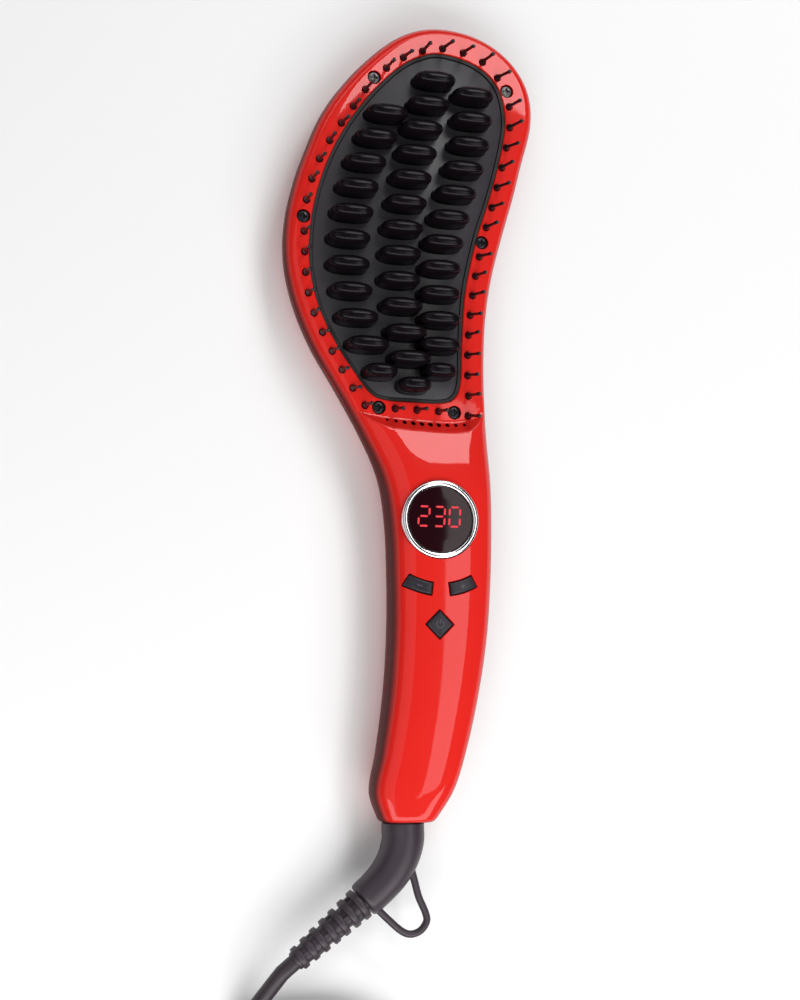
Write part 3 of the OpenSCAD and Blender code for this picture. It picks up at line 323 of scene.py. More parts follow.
def add_mesh(name, points, faces, crease=35):
    """A mesh object from points in millimetres, smooth up to a crease angle."""
    mesh = bpy.data.meshes.new(name)
    mesh.from_pydata((np.asarray(points, float) * MM).tolist(), [], [list(f) for f in faces])
    mesh.update()
    obj = bpy.data.objects.new(name, mesh)
    bpy.context.scene.collection.objects.link(obj)
    smooth_faces(obj, crease)
    return obj


def smooth_faces(obj, crease=35):
    obj.data.shade_smooth()
    obj.data.set_sharp_from_angle(angle=math.radians(crease))


def ring_faces(rows, n):
    """Faces of a tube of rows with n points each, with its ends closed."""
    faces = [(i * n + j, (i + 1) * n + j, (i + 1) * n + (j + 1) % n, i * n + (j + 1) % n)
             for i in range(rows - 1) for j in range(n)]
    return faces + [tuple(range(n)), tuple((rows - 1) * n + n - 1 - j for j in range(n))]


def loft(sections):
    """Points and faces of a closed solid through sections of equal length, turned right side out."""
    points = np.concatenate([np.asarray(s, float) for s in sections])
    faces = ring_faces(len(sections), len(sections[0]))
    return points, outwards(points, faces)


def outwards(points, faces):
    volume = 0.0
    for f in faces:
        a = points[f[0]]
        for j in range(1, len(f) - 1):
            volume += np.dot(a, np.cross(points[f[j]], points[f[j + 1]]))
    return faces if volume > 0 else [tuple(reversed(f)) for f in faces]


def merged(parts):
    """Points and faces of several solids as one list."""
    points, faces, start = [], [], 0
    for p, f in parts:
        points.append(np.asarray(p, float))
        faces += [tuple(i + start for i in face) for face in f]
        start += len(p)
    return np.concatenate(points), faces


def circle(sides):
    """Cosines and sines of a full turn."""
    angles = 2 * math.pi * np.arange(sides) / sides
    return np.cos(angles), np.sin(angles)


def turned(profile, sides, centre, axis="z"):
    """A lathe form: profile holds (radius, height) from one end to the other."""
    rows = []
    c0, s0 = circle(sides)
    for r, h in profile:
        r = max(r, 1e-4)
        c, s = r * c0, r * s0
        flat = np.full(sides, h)
        rows.append({"z": np.stack([c, s, flat], 1), "y": np.stack([c, flat, s], 1),
                     "x": np.stack([flat, c, s], 1)}[axis] + np.asarray(centre, float))
    return loft(rows)


def rod(r, low, high, sides, centre, axis="z"):
    return turned([(0, low), (r, low), (r, high), (0, high)], sides, centre, axis)


def level(line, z):
    """A line's points at one height, or at a height for each."""
    return np.column_stack([line, np.broadcast_to(z, len(line))])


def prism(line, low, high):
    return loft([level(line, low), level(line, high)])


def flared(line, low, top, high, lip, drop):
    """A prism through a surface at top, widened there by lip, as for an opening with a softened edge."""
    wide = grown(line, lip)
    return loft([level(line, low), level(line, top - drop), level(wide, top + 0.02), level(wide, high)])


def grown(line, d):
    """A closed clockwise line moved outwards by d."""
    t = np.roll(line, -1, 0) - np.roll(line, 1, 0)
    t /= np.linalg.norm(t, axis=1)[:, None]
    return line + d * np.stack([-t[:, 1], t[:, 0]], 1)


def tube(path, radii, sides):
    """A tube along a path, with a radius for each point."""
    way = np.gradient(path, axis=0)
    way /= np.linalg.norm(way, axis=1)[:, None]
    side = np.cross(way, [0, 0, 1])
    side /= np.linalg.norm(side, axis=1)[:, None]
    up = np.cross(side, way)
    across, high = (v[:, None] for v in circle(sides))
    return loft([c + r * across * s + r * high * u for c, r, s, u in zip(path, radii, side, up)])


def ring_solid(inner, outer, low, high):
    """A closed band between two lines."""
    n = len(inner)
    points = np.concatenate([level(inner, low), level(outer, low), level(outer, high), level(inner, high)])
    faces = [(i * n + j, ((i + 1) % 4) * n + j, ((i + 1) % 4) * n + (j + 1) % n, i * n + (j + 1) % n)
             for i in range(4) for j in range(n)]
    return points, outwards(points, faces)


def cut(obj, parts, operation="DIFFERENCE"):
    """Takes solids off an object, or adds them to it."""
    points, faces = merged(parts)
    tool = add_mesh(obj.name + "_tool", points, faces)
    change = obj.modifiers.new("cut", "BOOLEAN")
    change.operation, change.solver, change.object = operation, "MANIFOLD", tool
    made = bpy.data.meshes.new_from_object(obj.evaluated_get(bpy.context.evaluated_depsgraph_get()))
    if len(made.polygons) < 4:
        raise RuntimeError("nothing is left of " + obj.name)
    obj.modifiers.clear()
    old, obj.data = obj.data, made
    bpy.data.meshes.remove(old)
    used = tool.data
    bpy.data.objects.remove(tool)
    bpy.data.meshes.remove(used)
    made.name = obj.name
    smooth_faces(obj)


def place(obj, material, body, replaces=()):
    """Gives a piece its material and body, and says which CAD nodes it stands for."""
    obj.data.materials.clear()
    obj.data.materials.append(material)
    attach(obj, body)
    if replaces:
        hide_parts(*replaces)
    return obj


# ---- effects that several finishes share ----

# For each effect its inputs, its outputs, its nodes with their values and how their sockets are joined.
# A node kind in capitals is a math operation.
NOISE = "where.Object > cloud.Vector, in.Scale > cloud.Scale, cloud.Fac > centre.0, "
HALF = ("SUBTRACT", {1: 0.5})
WHERE = ("TexCoord", {})
WHITE = (1, 1, 1, 1)
EFFECTS = {
    # Colour that drifts a little lighter and darker over the surface
    "tone drift": (
        {"Color": WHITE, "Scale": 60, "Amount": 0.1}, ["Color"],
        {"where": WHERE, "cloud": ("TexNoise", {"Detail": 4}), "centre": HALF,
         "spread": ("MULTIPLY", {}), "lift": ("MULTIPLY_ADD", {1: 2, 2: 1}), "tint": ("HueSaturation", {})},
        NOISE + "centre.0 > spread.0, in.Amount > spread.1, spread.0 > lift.0, lift.0 > tint.Value, "
        "in.Color > tint.Color, tint.Color > out.Color"),
    # Roughness with faint patches, as handling leaves them
    "gloss patches": (
        {"Roughness": 0.3, "Scale": 40, "Amount": 0.05}, ["Roughness"],
        {"where": WHERE, "cloud": ("TexNoise", {"Detail": 6, "Distortion": 0.6}),
         "centre": HALF, "total": ("MULTIPLY_ADD", {}), "limit": ("Clamp", {})},
        NOISE + "centre.0 > total.0, in.Amount > total.1, in.Roughness > total.2, total.0 > limit.Value, "
        "limit.0 > out.Roughness"),
    # Height of a fine moulded grain
    "fine grain": (
        {"Scale": 2500, "Coarse": 0.3}, ["Height"],
        {"where": WHERE, "fine": ("TexNoise", {"Detail": 2}), "slower": ("MULTIPLY", {1: 0.12}),
         "wide": ("TexNoise", {}), "part": ("MULTIPLY", {}), "total": ("ADD", {})},
        "where.Object > fine.Vector, in.Scale > fine.Scale, in.Scale > slower.0, where.Object > wide.Vector, "
        "slower.0 > wide.Scale, wide.Fac > part.0, in.Coarse > part.1, fine.Fac > total.0, part.0 > total.1, "
        "total.0 > out.Height"),
    # Mask of fine specks
    "specks": (
        {"Scale": 900, "Share": 0.05}, ["Mask"],
        {"where": WHERE, "cells": ("TexVoronoi", {}), "below": ("LESS_THAN", {})},
        "where.Object > cells.Vector, in.Scale > cells.Scale, cells.Distance > below.0, in.Share > below.1, "
        "below.0 > out.Mask"),
    # Painted shade: colour darkened and coat gloss lowered where a face stands upright, so the flanks look dark
    "flank shade": (
        {"Color": WHITE, "Gloss": 0.5}, ["Color", "Gloss"],
        {"faces": ("NewGeometry", {}), "parts": ("SeparateXYZ", {}), "level": ("ABSOLUTE", {}),
         "share": ("MapRange", {"From Min": 0.12, "From Max": 0.72, "To Min": 0.1, "To Max": 1}),
         "shade": ("HueSaturation", {}), "gloss": ("MULTIPLY", {})},
        "faces.Normal > parts.0, parts.Z > level.0, level.0 > share.Value, share.0 > shade.Value, "
        "in.Color > shade.Color, share.0 > gloss.0, in.Gloss > gloss.1, shade.Color > out.Color, "
        "gloss.0 > out.Gloss"),
}


SOCKETS = ("NodeSocketFloat", "NodeSocketColor")
COAT_ROUGH = 0.035
GRAIN_DEPTH = 0.00004  # metres

# For each finish its colour or the name of a colour in the panel, its roughness, then the tone, the gloss
# patches and the grain as scale and amount, the strength of the grain, and other values of the shader.
# specks holds the scale, share and colour of fine specks; flanks paints shade on the upright faces, darkening their
# colour and gloss.
STEEL = (200, 0.1), (150, 0.12), (3000, 0.4), 0.1, {"Metallic": 1}
PLAIN = (150, 0.12), (90, 0.1), (2600, 0.4), 0.15, {}
FINISHES = {
    # The casing's finish carries painted shade: its upright flanks are darkened and lose coat gloss.
    "red gloss plastic": ("casing", 0.3, (35, 0.05), (30, 0.05), (1800, 0.6), 0.05,
                          {"Coat Weight": 0.55, "Specular IOR Level": 0.03, "flanks": True}),
    "guard rubber": ("guard", 0.42, (70, 0.14), (60, 0.1), (3200, 0.5), 0.25, {"Specular IOR Level": 0.45}),
    "cord jacket": ("cord", 0.45, (90, 0.12), (70, 0.1), (2600, 0.8), 0.3, {"Specular IOR Level": 0.4}),
    "plug rubber": ("cord", 0.5, (80, 0.12), (60, 0.08), (2200, 0.6), 0.35, {}),
    "nickel": ((0.62, 0.58, 0.5), 0.25, (60, 0.08), (45, 0.06), (4000, 0.2), 0.05, {"Metallic": 1}),
    "pin nylon": ("pins", 0.28, (120, 0.1), (90, 0.08), (3000, 0.3), 0.08, {}),
    "coated plate": ("plate", 0.42, (55, 0.2), (35, 0.1), (1500, 0.7), 0.35,
                     {"specks": (1100, 0.12, (0.05, 0.047, 0.052))}),
    "seal silicone": ((0.004, 0.004, 0.004), 0.6, (60, 0.08), (45, 0.06), (2000, 0.4), 0.1, {}),
    "tooth ceramic": ("teeth", 0.2, (80, 0.12), (120, 0.07), (900, 0.8), 0.06, {"Specular IOR Level": 0.1}),
    "button plastic": ("buttons", 0.36, (140, 0.12), (120, 0.1), (3500, 0.3), 0.15, {"Specular IOR Level": 0.35}),
    "button mark": ((0.07, 0.06, 0.075), 0.5, (400, 0.25), (45, 0.06), (4000, 0.3), 0.05, {}),
    "bright plating": ("ring", 0.12, (60, 0.03), (80, 0.04), (2500, 0.2), 0.01, {"Metallic": 1}),
    "smoked lens": ("lens", 0.04, (40, 0.3), (60, 0.03), (1500, 0.2), 0.005, {"Specular IOR Level": 0.2}),
    "lit digits": ("digits", 0.4, (900, 0.3), (45, 0.06), (2000, 0.2), 0.02, {}),
    "blackened steel": ("screws", 0.3, (300, 0.2), (200, 0.1), (4000, 0.3), 0.1, {"Metallic": 0.6}),
    "bare steel": ("bright_screws", 0.45, (300, 0.2), (200, 0.12), (4000, 0.3), 0.1, {"Metallic": 1}),
    "floor paint": ("floor", 0.9, (2, 0.01), (3, 0.02), (300, 0.3), 0.02, {"Specular IOR Level": 0.1}),
    "heater ceramic": ((0.62, 0.6, 0.56), 0.7, *PLAIN),
    "mica": ((0.45, 0.36, 0.24), 0.35, (90, 0.35), (60, 0.2), (800, 0.8), 0.2,
             {"specks": (700, 0.1, (0.6, 0.5, 0.36))}),
    "spring steel": ((0.55, 0.54, 0.52), 0.3, *STEEL),
    "zinc": ((0.5, 0.5, 0.47), 0.35, *STEEL),
    "glass bead": ((0.4, 0.2, 0.06), 0.15, *PLAIN),
    "fuse can": ((0.6, 0.6, 0.6), 0.22, *STEEL),
    "glass sleeve": ((0.7, 0.69, 0.64), 0.8, (500, 0.2), (90, 0.1), (1400, 0.9), 0.5, {}),
    "clear silicone": ((0.7, 0.72, 0.72), 0.4, *PLAIN),
    "module black": ((0.015, 0.015, 0.016), 0.5, *PLAIN),
    "switch black": ((0.02, 0.02, 0.02), 0.45, *PLAIN),
    "solder mask": ((0.012, 0.1, 0.035), 0.3, (120, 0.2), (60, 0.1), (1500, 0.5), 0.1,
                    {"specks": (260, 0.16, (0.3, 0.25, 0.12))}),
    "capacitor sleeve": ((0.02, 0.05, 0.25), 0.25, *PLAIN),
    "ferrite": ((0.06, 0.03, 0.02), 0.55, *PLAIN),
    "package black": ((0.02, 0.02, 0.022), 0.5, *PLAIN),
    "tank plastic": ((0.55, 0.66, 0.72), 0.2, *PLAIN),
    "plug silicone": ((0.02, 0.02, 0.024), 0.55, *PLAIN),
    "cast aluminium": ((0.5, 0.5, 0.52), 0.45, *STEEL),
    "hub nylon": ((0.5, 0.47, 0.4), 0.4, *PLAIN),
    "block nylon": ((0.48, 0.45, 0.39), 0.45, *PLAIN),
    "ring brass": ((0.6, 0.42, 0.16), 0.2, *STEEL),
    "finger brass": ((0.58, 0.4, 0.16), 0.25, *STEEL),
}
INNER = {  # the finish of each node inside the casing
    "heater_elements": "heater ceramic", "insulator_sheet": "mica", "heater_clamp": "spring steel",
    "clamp_screws": "zinc", "thermistor": "glass bead", "thermal_fuse": "fuse can", "heater_leads": "glass sleeve",
    "feed_tube": "clear silicone", "display_module": "module black", "tact_switches": "switch black",
    "main_pcb": "solder mask", "filter_capacitor": "capacitor sleeve", "power_choke": "ferrite",
    "triac": "package black", "water_tank": "tank plastic", "filler_plug": "plug silicone",
    "steam_chamber": "cast aluminium", "swivel_hub": "hub nylon", "swivel_block": "block nylon",
    "contact_rings": "ring brass", "contact_fingers": "finger brass"}


def node(tree, kind, values):
    """A shader node with its values; a kind in capitals is a math operation."""
    made = tree.nodes.new("ShaderNodeMath" if kind.isupper() else kind if kind[:4] == "Node" else "ShaderNode" + kind)
    if kind.isupper():
        made.operation = kind
    if kind == "MapRange":
        made.interpolation_type = "SMOOTHSTEP"
    for key, value in values.items():
        made.inputs[key].default_value = value
    return made


def join(tree, nodes, links):
    """Joins sockets: links holds 'node.socket > node.socket' with commas between, numbers for places."""
    for link in links.split(", "):
        (a, out), (b, into) = (end.split(".") for end in link.split(" > "))
        tree.links.new(nodes[a].outputs[int(out) if out.isdigit() else out],
                       nodes[b].inputs[int(into) if into.isdigit() else into])


def use(tree, name, **values):
    """A node in a material that runs one of the effects."""
    group = bpy.data.node_groups.get(name)
    if not group:
        inputs, outputs, nodes, links = EFFECTS[name]
        group = bpy.data.node_groups.new(name, "ShaderNodeTree")
        for label, value in inputs.items():
            group.interface.new_socket(name=label, in_out="INPUT", socket_type=SOCKETS[label == "Color"]
                                       ).default_value = value
        for label in outputs:
            group.interface.new_socket(name=label, in_out="OUTPUT", socket_type=SOCKETS[label == "Color"])
        made = {key: node(group, *spec) for key, spec in nodes.items()}
        made["in"], made["out"] = node(group, "NodeGroupInput", {}), node(group, "NodeGroupOutput", {})
        join(group, made, links)
    made = tree.nodes.new("ShaderNodeGroup")
    made.node_tree = group
    for key, value in values.items():
        made.inputs[key].default_value = value
    return made


def finish(name):
    """The material of that name, made from its row of the table when it is first needed."""
    if name in bpy.data.materials:
        return bpy.data.materials[name]
    colour, rough, tone, gloss, grain, bump, more = FINISHES[name]
    if isinstance(colour, str):
        colour = tint(colour)
    specks, coat = more.get("specks"), more.get("Coat Weight", 0)
    made = bpy.data.materials.new(name)
    made.use_nodes = True
    tree = made.node_tree
    shader = tree.nodes["Principled BSDF"]
    shader.inputs["Coat Roughness"].default_value = COAT_ROUGH
    for key, value in more.items():
        if key != "specks" and key != "flanks":
            shader.inputs[key].default_value = value
    nodes = {
        "shader": shader,
        "tone": use(tree, "tone drift", Color=(*colour, 1), Scale=tone[0], Amount=tone[1]),
        "gloss": use(tree, "gloss patches", Roughness=rough, Scale=gloss[0], Amount=gloss[1]),
        "grain": use(tree, "fine grain", Scale=grain[0], Coarse=grain[1]),
        "bump": node(tree, "Bump", {"Strength": bump, "Distance": GRAIN_DEPTH})}
    join(tree, nodes, "grain.Height > bump.Height, bump.Normal > shader.Normal, gloss.Roughness > shader.Roughness")
    if specks:
        nodes["dots"] = use(tree, "specks", Scale=specks[0], Share=specks[1])
        nodes["mix"] = node(tree, "Mix", {})
        nodes["mix"].data_type = "RGBA"
        nodes["mix"].inputs[7].default_value = (*specks[2], 1)
        join(tree, nodes, "dots.Mask > mix.0, tone.Color > mix.6, mix.2 > shader.Base Color")
    elif "flanks" in more:
        # Painted shade: darkens the colour and lowers the coat gloss where the casing's faces stand upright.
        nodes["sides"] = use(tree, "flank shade", Gloss=coat)
        join(tree, nodes, "tone.Color > sides.Color, sides.Color > shader.Base Color, "
                          "sides.Gloss > shader.Coat Weight")
    else:
        join(tree, nodes, "tone.Color > shader.Base Color")
    return made


# ---- sizes and colours ----

def length(name, text, value):
    return FloatProperty(name=name, description=text, default=value * MM, min=0, unit="LENGTH", subtype="DISTANCE",
                         precision=4)


def colour(name, text, value):
    return FloatVectorProperty(name=name, description=text, default=value, size=3, min=0, max=1, subtype="COLOR")


class BrushSizes(bpy.types.PropertyGroup):
    step_reach: length("Step reach", "Reach of the step between the rim and the handle", 6.9)
    outlet_d: length("Outlet", "Diameter of a steam outlet", 1.7)
    tooth_h: length("Tooth height", "Height of a heated tooth above the plate", 8.5)
    tooth_l: length("Tooth length", "Length of a tooth, across the brush", 15.2)
    tooth_t: length("Tooth thickness", "Thickness of a tooth at its foot", 5.6)
    pin_h: length("Pin height", "Height of a guard pin above the rim", 9)
    pin_d: length("Pin foot", "Diameter of a pin's foot", 2.2)
    bezel_d: length("Display ring", "Outer diameter of the ring round the display", 27.2)
    bezel_w: length("Ring width", "Width of the ring", 2.1)
    button_r: length("Button radius", "Distance of the plus and minus buttons from the display's centre", 24.1)
    button_t: length("Button height", "Height of the plus and minus buttons", 4.2)
    power_side: length("Power button", "Side of the square power button", 6.8)
    neck_d: length("Guard neck", "Diameter of the cord guard's neck", 14.6)
    loop_d: length("Loop strand", "Diameter of the hanging loop's strand", 2.5)
    cord_d: length("Cord", "Diameter of the power cord", 5.5)
    ribs: IntProperty(name="Ribs", description="Number of ribs on the strain relief", default=7, min=3, max=9)


class BrushColours(bpy.types.PropertyGroup):
    casing: colour("Casing", "Gloss plastic of both shells", (0.73, 0.02, 0.015))
    plate: colour("Plate", "Coating of the heater plate", (0.028, 0.025, 0.031))
    teeth: colour("Teeth", "Ceramic coating of the heated teeth", (0.006, 0.004, 0.006))
    pins: colour("Guard pins", "Nylon of the guard pins", (0.012, 0.006, 0.008))
    screws: colour("Screws", "Blackened steel of the screws", (0.02, 0.018, 0.022))
    bright_screws: colour("Bright screws", "Bare steel of the two upper screws", (0.17, 0.16, 0.16))
    ring: colour("Display ring", "Bright plating of the display's ring", (0.86, 0.86, 0.88))
    lens: colour("Lens", "Smoked lens over the display", (0.016, 0.003, 0.005))
    digits: colour("Digits", "Light of the display's digits", (0.72, 0.02, 0.04))
    buttons: colour("Buttons", "Plastic of the buttons", (0.02, 0.018, 0.024))
    guard: colour("Cord guard", "Rubber of the cord guard and its loop", (0.04, 0.028, 0.038))
    cord: colour("Cord", "Jacket of the power cord", (0.036, 0.026, 0.034))
    floor: colour("Floor", "Pale floor under the brush", (0.9, 0.9, 0.9))


def sizes():
    return bpy.context.scene.brush_sizes


def tint(name):
    return tuple(getattr(bpy.context.scene.brush_colours, name))


# ---- the pieces ----

# Where the cord leaves the guard, and the route it follows to its plug
ELBOW_FROM = np.array([NECK_X, END_Y - 0.3])
RELIEF_FROM = ELBOW_FROM + [-13.4, -25.2]
RELIEF_WAY = np.array([-24, -19.6]) / math.hypot(24, 19.6)
RELIEF_L = 30.0
CORD_EXIT = np.append(RELIEF_FROM + RELIEF_WAY * (RELIEF_L + 0.6), NECK_Z)
COIL_AT, COIL_ANGLE, COIL_TURNS = np.array([-28, -226]), 150.0, 8
COIL_R, COIL_PITCH, COIL_RISE = 20.0, 6.0, 6.0
LEAD = [[-50, -177, 9.2], [-55, -185, 5]]
TAIL = [[-75, -223, 7.8]]
PLUG_AT = np.array([-78.0, -246, 7])
PLUG_MIDDLE, PLUG_L = 6.85, 34  # middle height and length of the plug's body


def coil_point(t, d):
    r = COIL_R + COIL_PITCH * abs(t - COIL_TURNS / 2)
    a = math.radians(COIL_ANGLE + 360 * t)
    rise = float(smooth_step((t - COIL_TURNS / 2 + 0.25) / 0.5))
    return np.array([COIL_AT[0] + r * math.cos(a), COIL_AT[1] + r * math.sin(a), d / 2 + COIL_RISE * rise])


def cord_line(d):
    """Middle line of the cord, in millimetres, from the guard to the plug."""
    def heading(t):
        way = coil_point(t + 0.01, d) - coil_point(t - 0.01, d)
        return way / np.linalg.norm(way)
    coil_in = coil_point(0, d) - d * heading(0.01)
    coil_out = coil_point(COIL_TURNS, d) + d * heading(COIL_TURNS - 0.01)
    start = CORD_EXIT + np.append(RELIEF_WAY, 0) * d
    lead = spline([start, *LEAD, coil_in - d * heading(0.01)], 6)
    tail = spline([coil_out + d * heading(COIL_TURNS - 0.01), *TAIL, PLUG_AT + [0, d, 0]], 6)
    turns = [coil_point(t, d) for t in np.linspace(0, COIL_TURNS, COIL_TURNS * 36 + 1)]
    return np.vstack([CORD_EXIT, lead, coil_in, turns, coil_out, tail, PLUG_AT])


CAMERA_LENS = 1624 * 36 / 1000
CAMERA_TILTS = (16, 8)  # degrees to the left and towards the cord
CAMERA_AIM, CAMERA_DISTANCE = (-4, -8.5, 20), 560


class BRUSH_OT_camera(bpy.types.Operator):
    """Adds the camera that looks down on the brush"""
    bl_idname = "brush.camera"
    bl_label = "Camera"

    def execute(self, context):
        data = bpy.data.cameras.new("camera")
        camera = bpy.data.objects.new("camera", data)
        context.scene.collection.objects.link(camera)
        data.lens = CAMERA_LENS
        data.clip_start, data.clip_end = 0.01, 20
        away = Vector((*(-math.tan(math.radians(tilt)) for tilt in CAMERA_TILTS), 1)).normalized()
        across = Vector((0, 1, 0)).cross(away).normalized()
        at = (Vector(CAMERA_AIM) + CAMERA_DISTANCE * away) * MM
        camera.matrix_world = Matrix.Translation(at) @ Matrix(
            (across, away.cross(across), away)).transposed().to_4x4()
        context.scene.camera = camera
        return {"FINISHED"}


class BRUSH_OT_cord(bpy.types.Operator):
    """Adds the power cord from the guard to its plug"""
    bl_idname = "brush.cord"
    bl_label = "Power cord"

    def execute(self, context):
        d = sizes().cord_d / MM
        line = cord_line(d)
        data = bpy.data.curves.new("power_cord", "CURVE")
        data.dimensions = "3D"
        data.bevel_depth = d / 2 * MM
        data.bevel_resolution = 6
        data.use_fill_caps = True
        run = data.splines.new("POLY")
        run.points.add(len(line) - 1)
        run.points.foreach_set("co", np.column_stack([line * MM, np.ones(len(line))]).ravel())
        run.use_smooth = True
        cord = bpy.data.objects.new("power_cord", data)
        context.scene.collection.objects.link(cord)
        cord.data.materials.append(finish("cord jacket"))
        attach(cord, "cord_set")
        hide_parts("power_cord_lead", "power_cord_coil", "power_cord_tail")
        plug()
        plug_contacts()
        return {"FINISHED"}


def plug():
    """The flat two-pin plug, with a waist for the fingers and a neck for the cord."""
    table = [(-PLUG_L, 33.6, 12.2), (-33.4, 34.6, 13.2), (-31, 35, 13.6), (-24, 34.6, 13.6), (-18, 32, 13.4),
             (-12.5, 23, 12.6), (-9, 13.4, 11.2), (-8, 11, 10.6), (-6, 9.8, 9.8), (-3, 9, 9), (-0.4, 8.5, 8.5),
             (0, 8, 8)]
    sections = []
    for y, w, t in spline(table, 4):
        blend = float(smooth_step((-8 - y) / 12))
        c, s = (np.sign(v) * np.abs(v) ** (1 - 0.62 * blend) for v in circle(48))
        sections.append(np.stack([PLUG_AT[0] + w / 2 * c, np.full(48, PLUG_AT[1] + y),
                                  PLUG_MIDDLE + 0.15 * (1 - blend) + t / 2 * s], 1))
    points, faces = loft(sections)
    points[:, 2] = np.maximum(points[:, 2], 0.05)
    body = add_mesh("plug", points, faces)
    grips = []
    for side in (-1, 1):
        for k in range(4):
            y = PLUG_AT[1] - 15.5 - 2.6 * k
            half = 12.5 + 1.1 * k
            grips.append(turned([(0, -half), (0.5, -half + 0.5), (0.5, half - 0.5), (0, half)], 12,
                                (PLUG_AT[0], y, PLUG_MIDDLE + side * 6.95), "x"))
    cut(body, grips)
    return place(body, finish("plug rubber"), "cord_set", ["plug_body"])


def plug_contacts():
    """The two round contacts with their sleeves."""
    profile = [(0, 0.4), (1.9, 0.4), (1.9, -9.6), (2, -9.8), (2, -18), (1.7, -18.7), (1, -19), (0, -19)]
    parts = [turned(profile, 32, (PLUG_AT[0] + x, PLUG_AT[1] - PLUG_L, PLUG_AT[2]), "y") for x in (-9.5, 9.5)]
    contacts = add_mesh("plug_contacts", *merged(parts))
    return place(contacts, finish("nickel"), "cord_set", ["plug_pins"])


class BRUSH_OT_cord_guard(bpy.types.Operator):
    """Adds the swivelling cord guard: elbow, ribbed strain relief and hanging loop"""
    bl_idname = "brush.cord_guard"
    bl_label = "Cord guard"

    def execute(self, context):
        d = sizes().neck_d / MM
        elbow = spline([[0, 0], [0, -1.5], [0, -6], [-1.6, -11.5], [-4.6, -16.6], [-8.6, -21], [-13.4, -25.2]], 8)
        width = spline([[v, 0] for v in (0, 0, -0.1, -0.5, -1.1, -1.7, -2)], 8)[:, 0]
        path = level(elbow + ELBOW_FROM, NECK_Z)
        way = np.append(RELIEF_WAY, 0)
        radii = (d + width) / 2
        ends = np.array([path[0] + [0, 0.05, 0], *path, path[-1] + way * 0.5])
        lips = [radii[0] - 0.5, radii[0] - 0.12, *radii[1:-1], radii[-1] - 0.15, radii[-1] - 0.6]
        body = add_mesh("cord_guard", *tube(ends, lips, 40), crease=50)
        for part in strain_relief(way):
            cut(body, [part], "UNION")
        loop = spline([[2.4, -14.2], [3.9, -18.5], [5.6, -24.6], [8, -30], [8.4, -33], [6.3, -35.9], [2.9, -37],
                       [-0.5, -35.8], [-5, -32], [-8.4, -28.8], [-11.2, -26.4]], 6)
        from_end = np.minimum(np.arange(len(loop)), np.arange(len(loop))[::-1])
        flare = sizes().loop_d / MM / 2 * (1 + 0.5 * np.exp(-from_end / 2.2))
        cut(body, [tube(level(loop + ELBOW_FROM, NECK_Z), flare, 20)], "UNION")
        place(body, finish("guard rubber"), "cord_set", ["cord_guard"])
        return {"FINISHED"}


BRIDGE = [(-1, -0.8), (-0.8, -1), (0.8, -1), (1, -0.8), (1, 0.8), (0.8, 1), (-0.8, 1), (-1, 0.8)]


def strain_relief(way):
    """The ribbed sleeve and the bridges between its ribs."""
    count = sizes().ribs
    pitch = RELIEF_L / count
    thick = pitch * 0.55
    side, up = np.cross(way, [0, 0, 1]), np.array([0, 0, 1])
    origin = np.append(RELIEF_FROM, NECK_Z)
    core, bridges = [(0, -2), (3.9, -2)], []
    for k in range(count):
        a, r = 1.4 + pitch * k, 5.7 - 1.5 * k / (count - 1)
        b, c = a + thick, 3.9 - 0.6 * a / RELIEF_L
        core += [(c, a), (r - 0.5, a), (r - 0.14, a + 0.14), (r, a + 0.5), (r, b - 0.5), (r - 0.14, b - 0.14),
                 (r - 0.5, b), (c, b)]
        if k < count - 1:
            high, across = (1.0, 0.82 * r) if k % 2 == 0 else (0.82 * r, 1.0)
            bar_line = [side * across * u + np.array([0, 0, high * v]) for u, v in BRIDGE]
            bridges.append(loft([origin + way * h + np.array(bar_line)
                                 for h in (b - 0.2, b + pitch - thick + 0.2)]))
    core += [(3.3, RELIEF_L + 0.3), (3.1, RELIEF_L + 0.6), (0, RELIEF_L + 0.6)]
    c, s = (v[:, None] for v in circle(40))
    return [loft([origin + way * h + max(r, 1e-3) * (c * side + s * up) for r, h in core]), *bridges]


class BRUSH_OT_front_cover(bpy.types.Operator):
    """Adds the front shell: rim, step with steam outlets, handle crown and its openings"""
    bl_idname = "brush.front_cover"
    bl_label = "Front cover"

    def execute(self, context):
        shell = add_mesh("front_cover", *shell_solid(0.0, 1))
        cut(shell, [shell_solid(WALL, 1)])
        plate = grown(spline(PLATE, 12, closed=True), 1.25)
        cut(shell, [flared(plate, SEAM - 3, RIM, RIM + 14, 0.35, 0.35)])
        pin_hole = [(1.3, 12), (1.3, RIM - 0.15), (1.48, RIM + 0.03), (1.48, RIM + 3)]
        screw_hole = [(1.42, 12), (1.42, RIM - 1.6), (2.42, RIM - 1.6), (2.42, RIM - 0.2), (2.6, RIM + 0.03),
                      (2.6, RIM + 3)]
        cut(shell, [turned([(0, 12), *hole, (0, RIM + 3)], sides, (*at, 0))
                    for hole, sides, places in ((pin_hole, 24, pins()), (screw_hole, 36, HEAD_SCREWS))
                    for at in places])
        outlets = []
        for k in range(OUTLETS):
            x = OUTLET_X + OUTLET_SPAN * (k / (OUTLETS - 1) - 0.5)
            y = OUTLET_Y + OUTLET_BOW * (x - 8) ** 2 - OUTLET_DOWN
            d = sizes().outlet_d / MM * (1 - OUTLET_TAPER * (2 * k / (OUTLETS - 1) - 1) ** 2)
            outlets.append(rod(d / 2, RIM - 4, RIM + 8, 20, (x, y, 0)))
        cut(shell, outlets)
        cut(shell, [rod(sizes().bezel_d / MM / 2 + 0.1, SEAM + 1, ABOVE, 96, (*DISPLAY, 0))])
        cut(shell, [window(arc_line(1, GAP)), window(arc_line(-1, GAP)), window(square_line(GAP))])
        cut(shell, [bore(), filler_room()])
        place(shell, finish("red gloss plastic"), "casing", ["front_cover"])
        return {"FINISHED"}


def bore():
    return rod(SHAFT_R + GAP, END_Y - 3, END_Y + 5, 64, (NECK_X, 0, NECK_Z), "y")


